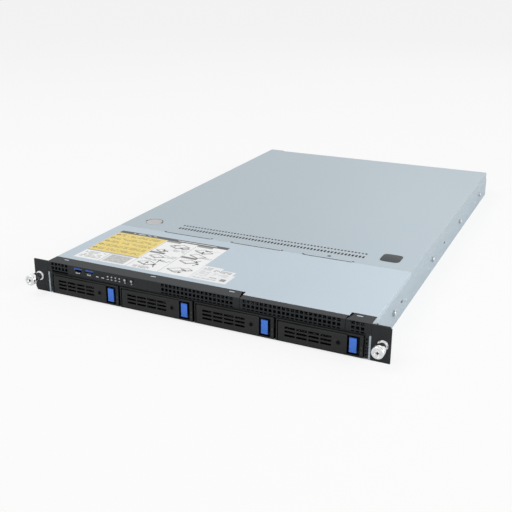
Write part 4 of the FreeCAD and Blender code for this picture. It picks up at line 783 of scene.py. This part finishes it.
cover_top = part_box("front_cover")[1].z
film = 0.04 * mm
dark_ink, white_film, yellow_ink = (0.03, 0.033, 0.034), (0.93, 0.935, 0.935), (0.86, 0.66, 0.15)
grey_ink, soft_ink, head_ink = (0.26, 0.27, 0.27), (0.5, 0.51, 0.52), (0.16, 0.165, 0.165)
step_pitch = 14.4           # from one step of the yellow panel to the next, in millimetres
yellow_rows = [((-191, 66 + step_pitch * number), (-124, 75 + step_pitch * number), 2.6, (0.1, 0.085, 0.02))
               for number in range(5)]
sheet_film = printed("service_film", white_film, [
    ((-200, 137), (-26, 146), dark_ink),
    ((-200, 61.5), (-120, 137), yellow_ink),
    ((-200, 58), (-118, 61.5), (0.4, 0.4, 0.38)),
    ((-157, 31), (-124, 56.5), (0.6, 0.61, 0.61)),
    ((-160.5, 28), (-159.7, 58), grey_ink),
    ((-118.4, 28), (-117.8, 137), grey_ink),
    ((-70.4, 28), (-69.8, 137), grey_ink),
    ((-118, 131), (-96, 137), grey_ink), ((-69.5, 131), (-46, 137), grey_ink),
    ((-118, 85.5), (-95, 91), head_ink), ((-69.5, 85.5), (-46, 91), head_ink)],
    [((-178, 139.5), (-140, 144), 4.5, white_film), ((-108, 139.5), (-44, 144), 4.5, white_film),
     ((-196, 33), (-164, 55), 3.6, grey_ink), ((-155, 33), (-126, 55), 2.4, grey_ink),
     ((-92, 74), (-72, 84), 3.2, grey_ink), ((-115, 60), (-72, 66), 3.0, dark_ink),
     ((-92, 100), (-72, 108), 3.0, grey_ink), ((-44, 92), (-28, 98), 3.0, grey_ink),
     ((-115, 30), (-86, 38), 3.2, dark_ink), *yellow_rows])
sheet_left, sheet_right, sheet_front, sheet_rear = -200 * mm, -26 * mm, 28 * mm, 146 * mm
sheet = Form()
sheet.box((sheet_left, sheet_front, cover_top), (sheet_right, sheet_rear, cover_top + film))
sheet.piece("service_sheet", sheet_film, "chassis")
label_film = printed("parts_label_film", (0.88, 0.89, 0.9), [
    ((14, 34), (21.5, 41.5), grey_ink)],
    [((-22, 60), (-10, 70), 3.2, grey_ink), ((-6, 58), (18, 66), 3.6, dark_ink),
     ((-22, 32), (10, 36), 2.6, grey_ink), ((-4, 38), (12, 42), 3.4, dark_ink),
     ((-22, 40), (-8, 57), 3.0, soft_ink), ((-2, 46), (18, 55), 3.2, soft_ink)])
label_outline = metres((-25.5, 28), (26, 28), (26, 56), (22, 56), (22, 67), (2, 67), (2, 73), (-25.5, 73))
label = Form()
label.prism(label_outline, cover_top, cover_top + film)
label.piece("parts_label", label_film, "chassis")


# Sheet drawings: plain line pictures of a flat case, its cover and the way they move.
# They are printed in dark ink on the service sheet, with a small ring before each step of the yellow panel.

ink_line = plain("ink_line", (0.035, 0.037, 0.038), 0.45, 0.1, 800)
lines = Form()
ink_floor, ink_thick = cover_top + film, 0.02 * mm


def stroke(points, width=0.85):
    """Straight inked strokes through points, all in millimetres."""
    for (ax, ay), (bx, by) in zip(points, points[1:]):
        length = math.hypot(bx - ax, by - ay)
        ux, uy = (bx - ax) / length, (by - ay) / length
        corners = [((px + side * -uy * width / 2 + tip * ux * width / 2) * mm,
                    (py + side * ux * width / 2 + tip * uy * width / 2) * mm)
                   for px, py, tip, side in (
                       (ax, ay, -1, -1), (bx, by, 1, -1), (bx, by, 1, 1), (ax, ay, -1, 1))]
        lines.prism(corners, ink_floor, ink_floor + ink_thick)


def flat_box(x, y, wide, deep, tall):
    """The nine edges of a box that show when it is seen from above at a slant."""
    run, rise = 0.87, 0.42
    across, along, up = (wide * run, -wide * rise), (deep * run * 0.8, deep * rise), (0, tall)

    def corner(i, j, k):
        return (x + i * across[0] + j * along[0] + k * up[0], y + i * across[1] + j * along[1] + k * up[1])
    stroke([corner(*spot) for spot in ((0, 0, 1), (1, 0, 1), (1, 1, 1), (0, 1, 1), (0, 0, 1), (0, 0, 0),
                                       (1, 0, 0), (1, 1, 0), (1, 1, 1))])
    stroke([corner(1, 0, 0), corner(1, 0, 1)])


def arrow(x, y, turn, length):
    """A bold arrow from a point, with its turn from +X in degrees."""
    bold, wing_long = 1.3, 3.2
    ux, uy = math.cos(math.radians(turn)), math.sin(math.radians(turn))
    tip = (x + length * ux, y + length * uy)
    stroke([(x, y), tip], bold)
    for bend in (150, -150):
        wing = math.radians(turn + bend)
        stroke([tip, (tip[0] + wing_long * math.cos(wing), tip[1] + wing_long * math.sin(wing))], bold)


for case in (
        (-104, 118, 14, 22, 1.6), (-113, 96, 10, 12, 1.6), (-110, 74, 12, 14, 2.2), (-112, 48, 16, 18, 1.6),
        (-64, 116, 18, 16, 1.6), (-62, 98, 16, 14, 1.6), (-64, 74, 14, 18, 1.6), (-64, 42, 12, 20, 1.8),
        (-88, 116, 8, 10, 1.4), (-46, 48, 8, 10, 2.2)):
    flat_box(*case)
for motion in (
        (-92, 124, 200, 9), (-104, 102, 300, 6), (-88, 56, 90, 10), (-84, 40, 115, 9), (-42, 124, 205, 9),
        (-50, 110, 100, 6), (-38, 84, 230, 8), (-40, 66, 65, 9), (-50, 36, 20, 8), (-100, 44, 85, 9)):
    arrow(*motion)
hair = 0.35
stroke([(-98, 103), (-74, 113)], hair)
stroke([(-60, 108), (-30, 124)], hair)
step_x, step_ring, step_line = -195.3, 2.6, 0.8
for number in range(5):
    step_y = 70.5 + step_pitch * number
    for i in range(12):
        turns = [math.tau * (i + step) / 12 for step in (0, 1)]
        ring = [(step_x + step_ring * math.cos(t), step_y + step_ring * math.sin(t)) for t in turns]
        stroke(ring, step_line)
    stroke([(-196.6, step_y - 1), (-194, step_y + 1)], step_line)
lines.piece("sheet_drawings", ink_line, "chassis")


# Grip pad: ribbed soft plastic, moulded dark and pressed into the rear cover.
# It gives the hand its hold when the cover is slid back.

pad_plastic = moulded("pad_plastic", (0.024, 0.032, 0.035), 0.6, 1800, 0.1)
rounded("cover_pad", 0.5 * mm, pad_plastic, "grip_pad", 2, 1.2 * mm)


# Press button: a round dish stamped in the end of a leaf spring of plated steel, with a warm painted
# highlight in it.
# Three flat rivets hold the spring to the rear cover.

press_x, press_y, dish_radius = -181 * mm, 201 * mm, 11.6 * mm
latch_steel = sheet_steel("latch_steel", zinc)
across, along = latch_steel.along(0) - press_x, latch_steel.along(1) - press_y
dish_highlight = (across * across + along * along) < dish_radius ** 2
# The warm tint in the dish is a painted highlight.
latch_steel.set(Base_Color=latch_steel.blend(dish_highlight * 0.8, (0.44, 0.5, 0.54), (0.5, 0.48, 0.47)))
latch_steel.wear("cover_latch")
roof_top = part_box("rear_cover")[1].z
rivet_profile = metres((-0.3, 0), (-0.3, 1.6), (0, 1.6), (0.01, 1.3), (-0.1, 1.2), (-0.1, 0))
flat_rivet = Form()
for x, y in ((-146.3, 200.3), (-153, 211), (-153, 191)):
    flat_rivet.lathe(rivet_profile, (x * mm, y * mm, roof_top), "z", 20)
flat_rivet.piece("spring_rivets", turned_steel, "cover")


# Cover screw: a small black machine screw with a hollow head, sunk in a countersink shown as painted shade.
# It holds the rear cover shut for transport.

screw_place = (106 * mm, 176.5 * mm, roof_top)
head_profile = metres(
    (-1.2, 0), (-1.2, 2.1), (-0.2, 2.1), (-0.05, 1.8), (-0.05, 0.8), (-0.6, 0.6), (-0.6, 0))
sink_shade_radius = 2.7 * mm
screw_and_sink_shade = Form()
screw_and_sink_shade.lathe(head_profile, screw_place, "z", 24)
# A thin black disc lies over the head and its countersink: the screw's own black, and painted shade in the
# countersink.
screw_and_sink_shade.lathe([(0, 0), (0, sink_shade_radius), (film, sink_shade_radius), (film, 0)], screw_place, "z", 24)
screw_and_sink_shade.piece("cover_screw", switch_black, "cover")


# Seam shadow: black strips in the three gaps of the seam, and a thin black band over the fixed cover's
# edge, painted shade of the seam.
# A small black block at both ends of each, in the relief holes, is painted shade there too, and slides with
# the rear cover.

# A plain deep black, used for painted shade.
shade_black = plain("painted_shade_black", (0.012, 0.012, 0.012), 0.8, 0.15, 2500)
shade_black.bump(shade_black.noise(2500), 0.1 * mm)
tongue_long = 8.3 * mm
seam_front, seam_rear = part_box("front_cover")[1].y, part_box("rear_cover")[0].y + tongue_long
seam_gap, seam_shade_low, seam_shade_high = 0.05 * mm, roof_top - 1.0 * mm, roof_top - 0.1 * mm
seam_shade_form, relief_shade_form = Form(), Form()
for left, right in ((-141, -68), (-34, 39.5), (73, 140)):
    seam_shade_form.box((left * mm, seam_front + seam_gap, seam_shade_low), (right * mm, seam_rear - seam_gap, seam_shade_high))
    seam_shade_form.box((left * mm, seam_front - 1.3 * mm, roof_top), (right * mm, seam_rear, roof_top + film))
    for inner in (left - 2.35, right + 0.45):
        relief_shade_form.box((inner * mm, seam_rear, seam_shade_low), ((inner + 1.9) * mm, seam_rear + 2.35 * mm, seam_shade_high))
        relief_shade_form.box(((inner - 0.5) * mm, seam_rear + 0.1 * mm, roof_top),
                  ((inner + 2.4) * mm, seam_rear + 2.7 * mm, roof_top + film))
seam_shade_form.piece("seam_shade_strips", shade_black, "chassis")
relief_shade_form.piece("relief_hole_shades", shade_black, "cover")


# Press button rim: the cut round the rear half of the button, through the sheet, is a thin black arc of
# painted shade on the cover.
# It ends in a small oval hole on each side, where the leaf spring bends, painted black the same way.

rim_outside, rim_inside = 13.4 * mm, 12.45 * mm
press_cut_shade = Form()
for corners in arc_pieces((press_x, press_y), rim_outside, rim_outside - rim_inside, math.pi):
    press_cut_shade.prism(corners, roof_top, roof_top + film)
for sign in (-1, 1):
    press_cut_shade.prism([((-181 + sign * (12.9 + 1.3 * math.cos(t))) * mm, (201 + 2.2 * math.sin(t)) * mm)
                      for t in (math.tau * i / 16 for i in range(16))], roof_top, roof_top + film)
press_cut_shade.piece("press_cut_shade", shade_black, "cover")


# Slot shade: a black sheet under the two rows of slots in the rear cover, and a black block in each slot,
# all painted shade.
# Seen from above, it fills each slot with a dark shade.

slot_shade_sheet = Form()
slot_shade_sheet.box((-134 * mm, 187 * mm, roof_top - 1.5 * mm), (152 * mm, 209 * mm, roof_top - 1.05 * mm))
slot_shade_sheet.piece("slot_shade_sheet", shade_black, "cover")
first_slot, slot_pitch, shade_line = -131 * mm, 4.9 * mm, roof_top - 0.6 * mm
for row, y, long in (("front", 192, 7.4), ("rear", 205.2, 4.4)):
    strip_row(f"slot_shade_{row}", 58, (first_slot, y * mm, shade_line), (slot_pitch, 0, 0),
              (2.9 * mm, long * mm, 0.8 * mm), shade_black, "cover")


# Network ports: three folded shells of plated sheet on the main board, each over a black moulded insert.
# Each has eight gold spring contacts, and a green and an amber lamp.

nickel.wear("rear_ports")
rear_face = 728.4 * mm
network_ports = (-95 * mm, -76 * mm, -57 * mm)
lens_green = plain("lens_green", (0.1, 0.42, 0.14), 0.15, 0.1, 800, Coat_Weight=0.4)
lens_amber = plain("lens_amber", (0.66, 0.32, 0.05), 0.15, 0.1, 800, Coat_Weight=0.4)
insert_half, insert_top, lamp_out = 5.85 * mm, 19.15 * mm, 5.2 * mm
inserts = Form()
for number, x in enumerate(network_ports, 1):
    strip_row(f"network_contacts_{number}", 8, (x - 3.57 * mm, 719.6 * mm, 17.6 * mm), (1.02 * mm, 0, 0),
              (0.45 * mm, 7.2 * mm, 0.25 * mm), gold, "chassis")
    for side, sign, lens in (("left", -1, lens_green), ("right", 1, lens_amber)):
        strip_row(f"network_lamp_{number}_{side}", 1, (x + sign * lamp_out, rear_face, 20.5 * mm),
                  (0, 0, 0), (3.0 * mm, 0.3 * mm, 1.6 * mm), lens, "chassis")
    inserts.box((x - insert_half, 715.5 * mm, 18.3 * mm), (x + insert_half, 727.5 * mm, insert_top))
    inserts.box((x - insert_half, 715.4 * mm, 11.05 * mm), (x + insert_half, 716.2 * mm, insert_top))
inserts.piece("port_inserts", switch_black, "chassis")


# Rear data ports: two stacked openings in one plated shell, with a blue moulded tongue in each.
# They stand on the main board beside the network ports.

rear_tongues = Form()
for low in (9.4, 15.8):
    rear_tongues.box(*metres((-43.6, 716, low + 2.7), (-32.4, 727.4, low + 4.5)))
rear_tongues.round(tongue_round, 2)
rear_tongues.piece("rear_tongues", tongue_blue, "chassis")


# Display port: a slanted blue insert with three rows of five holes, moulded, in a plated shell; the holes
# are painted shade.
# A hexagonal nut on each side, turned and nickel-plated, takes the plug's screws.

insert_outline = metres((-17.0, 18.5), (-1.0, 18.5), (-2.0, 11.1), (-16.0, 11.1))
display_insert = Form()
display_insert.prism(insert_outline, 722.8 * mm, 726.6 * mm, "y")
display_insert.round(0.8 * mm, 3)
display_insert.piece("display_insert", tongue_blue, "chassis")
# Each hole is a small black square on the insert's face: painted shade of the hole.
for row, z in enumerate((16.9, 14.8, 12.7)):
    strip_row(f"display_hole_shades_{row + 1}", 5, *metres(
        (-13.6 + 0.4 * (row % 2), 726.7, z), (2.2, 0, 0), (0.9, 0.3, 0.9)), switch_black, "chassis")
nut_line, nut_radius, nut_end = 14.8, 2.7, 732.6 * mm
nut_thread = metres((732.5, 0), (732.5, 1.5), (732.9, 1.5), (732.9, 1.2), (732.55, 1.1), (732.55, 0))
nuts = Form()
for x in (-21.6, 3.6):
    corners = [(x + nut_radius * math.cos(t), nut_line + nut_radius * math.sin(t))
               for t in (math.tau * i / 6 for i in range(6))]
    nuts.prism(metres(*corners), rear_face, nut_end, "y")
    nuts.lathe(nut_thread, (x * mm, 0, nut_line * mm), "y", 16)
nuts.piece("display_nuts", nickel, "chassis")


# Power supplies: plated steel cases that pull out to the rear, each with a mains inlet, a slotted grille,
# a wire handle and a blue side catch. The inlet is black plastic with three flat pins.

def supply_finish(number, centre):
    """Plated steel, but black plastic on the handle and in the inlet."""
    finish = Finish(f"supply_steel_{number}")
    x, y, z = finish.along(0), finish.along(1), finish.along(2)
    inlet = ((x > centre - 33.4 * mm) * (x < centre - 8.6 * mm) * (z > 6.6 * mm) * (z < 23.4 * mm)
             * (y > 700 * mm) * (y < 727.9 * mm))
    handle = y > 728.3 * mm
    black = (inlet + handle).clamped()
    case_colour = finish.plated(
        (0.5, 0.53, 0.555), mottle=0.06, grained=0, rim=(0.78, 0.79, 0.8), roughness=0.42)
    return finish.set(Base_Color=finish.blend(black, case_colour, (0.022, 0.022, 0.024)),
                      Metallic=(1 - black) * 0.5)


pin_pitch, pin_wide, pin_tall = 9.6 * mm, 1.9 * mm, 4.2 * mm
lamp_profile = metres((-0.6, 0), (-0.6, 1.5), (0, 1.5), (0.3, 1.2), (0.45, 0.5), (0.5, 0))
for number, centre in ((1, 104.05 * mm), (2, 179.05 * mm)):
    supply_body = f"supply_{number}"
    supply_finish(number, centre).wear(f"power_supply_{number}")
    rounded(f"supply_latch_{number}", 0.3 * mm, latch_blue, f"supply_catch_tab_{number}", 2, 1.2 * mm)
    for pins, count, x, y, z, long in (("pins", 2, 25.8, 718.5, 12.6, 15), ("earth", 1, 21, 719, 17.6, 16)):
        strip_row(f"inlet_{pins}_{number}", count, (centre - x * mm, y * mm, z * mm), (pin_pitch, 0, 0),
                  (pin_wide, long * mm, pin_tall), nickel, supply_body)
    lamp = Form()
    lamp.lathe(lamp_profile, (centre - 29 * mm, 728 * mm, 31 * mm), "y", 20)
    lamp.piece(f"supply_lamp_{number}", lens_green, supply_body)


# Rear screws: pan-headed machine screws of turned steel.
# Three hold the slot covers, and two hold the rear wall at its foot.

head_radius, head_height = 2.4 * mm, 0.6 * mm
for name, count, up, pitch in (("slot_screws", 3, 31, 61), ("wall_screws", 2, 7, 278)):
    rivet_row(name, count, *metres((-212, 728, up), (pitch, 0, 0)), head_radius, head_height,
              (-math.pi / 2, 0, 0))


# Studio: a white floor and a white dome for backdrop, and three soft lamps: key, fill and back.
# The camera stands where the photo was taken from, as fitted to the photo's edges.

world = bpy.data.worlds.new("studio")
scene.world = world
world.use_nodes = True
sky = world.node_tree
sky.nodes.clear()
paths = sky.nodes.new("ShaderNodeLightPath")
either = paths.outputs["Is Camera Ray"]
for other in ("Is Glossy Ray", "Is Transmission Ray"):
    step = sky.nodes.new("ShaderNodeMath")
    step.operation = "MAXIMUM"
    sky.links.new(either, step.inputs[0])
    sky.links.new(paths.outputs[other], step.inputs[1])
    either = step.outputs[0]
strength = sky.nodes.new("ShaderNodeMapRange")
sky.links.new(either, strength.inputs["Value"])
dome_light, dome_seen = 0.44, 1.0
strength.inputs["To Min"].default_value = dome_light
strength.inputs["To Max"].default_value = dome_seen
dome = sky.nodes.new("ShaderNodeBackground")
dome.inputs["Color"].default_value = (1, 1, 1, 1)
sky.links.new(strength.outputs[0], dome.inputs["Strength"])
sky_out = sky.nodes.new("ShaderNodeOutputWorld")
sky.links.new(dome.outputs[0], sky_out.inputs["Surface"])

floor_finish = Finish("studio_floor", Base_Color=(0.9, 0.9, 0.9), Roughness=0.9)
glow_share = floor_finish.node("ShaderNodeLightPath", {}, {}, "Is Camera Ray") * 0.8
glow = floor_finish.node("ShaderNodeEmission", {}, {})
matt = Amount(floor_finish, floor_finish.shader.outputs[0])
floor_finish.plug(floor_finish.output.inputs["Surface"],
                  floor_finish.node("ShaderNodeMixShader", {}, {0: glow_share, 1: matt, 2: glow}))

floor_mesh = bpy.data.meshes.new("floor")
reach, floor_gap = 12.0, 0.0002
floor_corners = [(-reach, -reach, 0), (reach, -reach, 0), (reach, reach, 0), (-reach, reach, 0)]
floor_mesh.from_pydata(floor_corners, [], [(0, 1, 2, 3)])
floor_mesh.materials.append(floor_finish.material)
floor = placed("floor", floor_mesh)
floor.location.z = cad_box[0].z - floor_gap

middle = (cad_box[0] + cad_box[1]) / 2
for name, place, width, power in (
        ("key_lamp", (-1.2, -0.6, 2.2), 1.6, 22), ("fill_lamp", (2.4, -0.1, 0.8), 1.4, 38),
        ("back_lamp", (0.2, 2.4, 1.8), 1.8, 7)):
    lamp_data = bpy.data.lights.new(name, "AREA")
    lamp_data.size = width
    lamp_data.energy = power
    lamp = placed(name, lamp_data)
    lamp.location = place
    lamp.rotation_euler = (middle - lamp.location).to_track_quat("-Z", "Y").to_euler()

azimuth, elevation = math.radians(25.88), math.radians(18.95)
focal_pixels, frame_pixels, sensor = 790, 512, 36
axis_across, axis_down = 240, 235       # where the camera's axis meets the photo, in pixels
camera_data = bpy.data.cameras.new("photo_camera")
camera_data.sensor_width = sensor
camera_data.lens = focal_pixels / frame_pixels * sensor
camera_data.shift_x = (frame_pixels / 2 - axis_across) / frame_pixels
camera_data.shift_y = -(frame_pixels / 2 - axis_down) / frame_pixels
camera = placed("photo_camera", camera_data)
level = math.cos(elevation)
sight = Vector((-math.sin(azimuth) * level, math.cos(azimuth) * level, -math.sin(elevation)))
camera.rotation_mode = "QUATERNION"
camera.rotation_quaternion = sight.to_track_quat("-Z", "Y")
camera.location = (0.429, -0.761, 0.411)
scene.camera = camera
scene.view_settings.view_transform = "Standard"
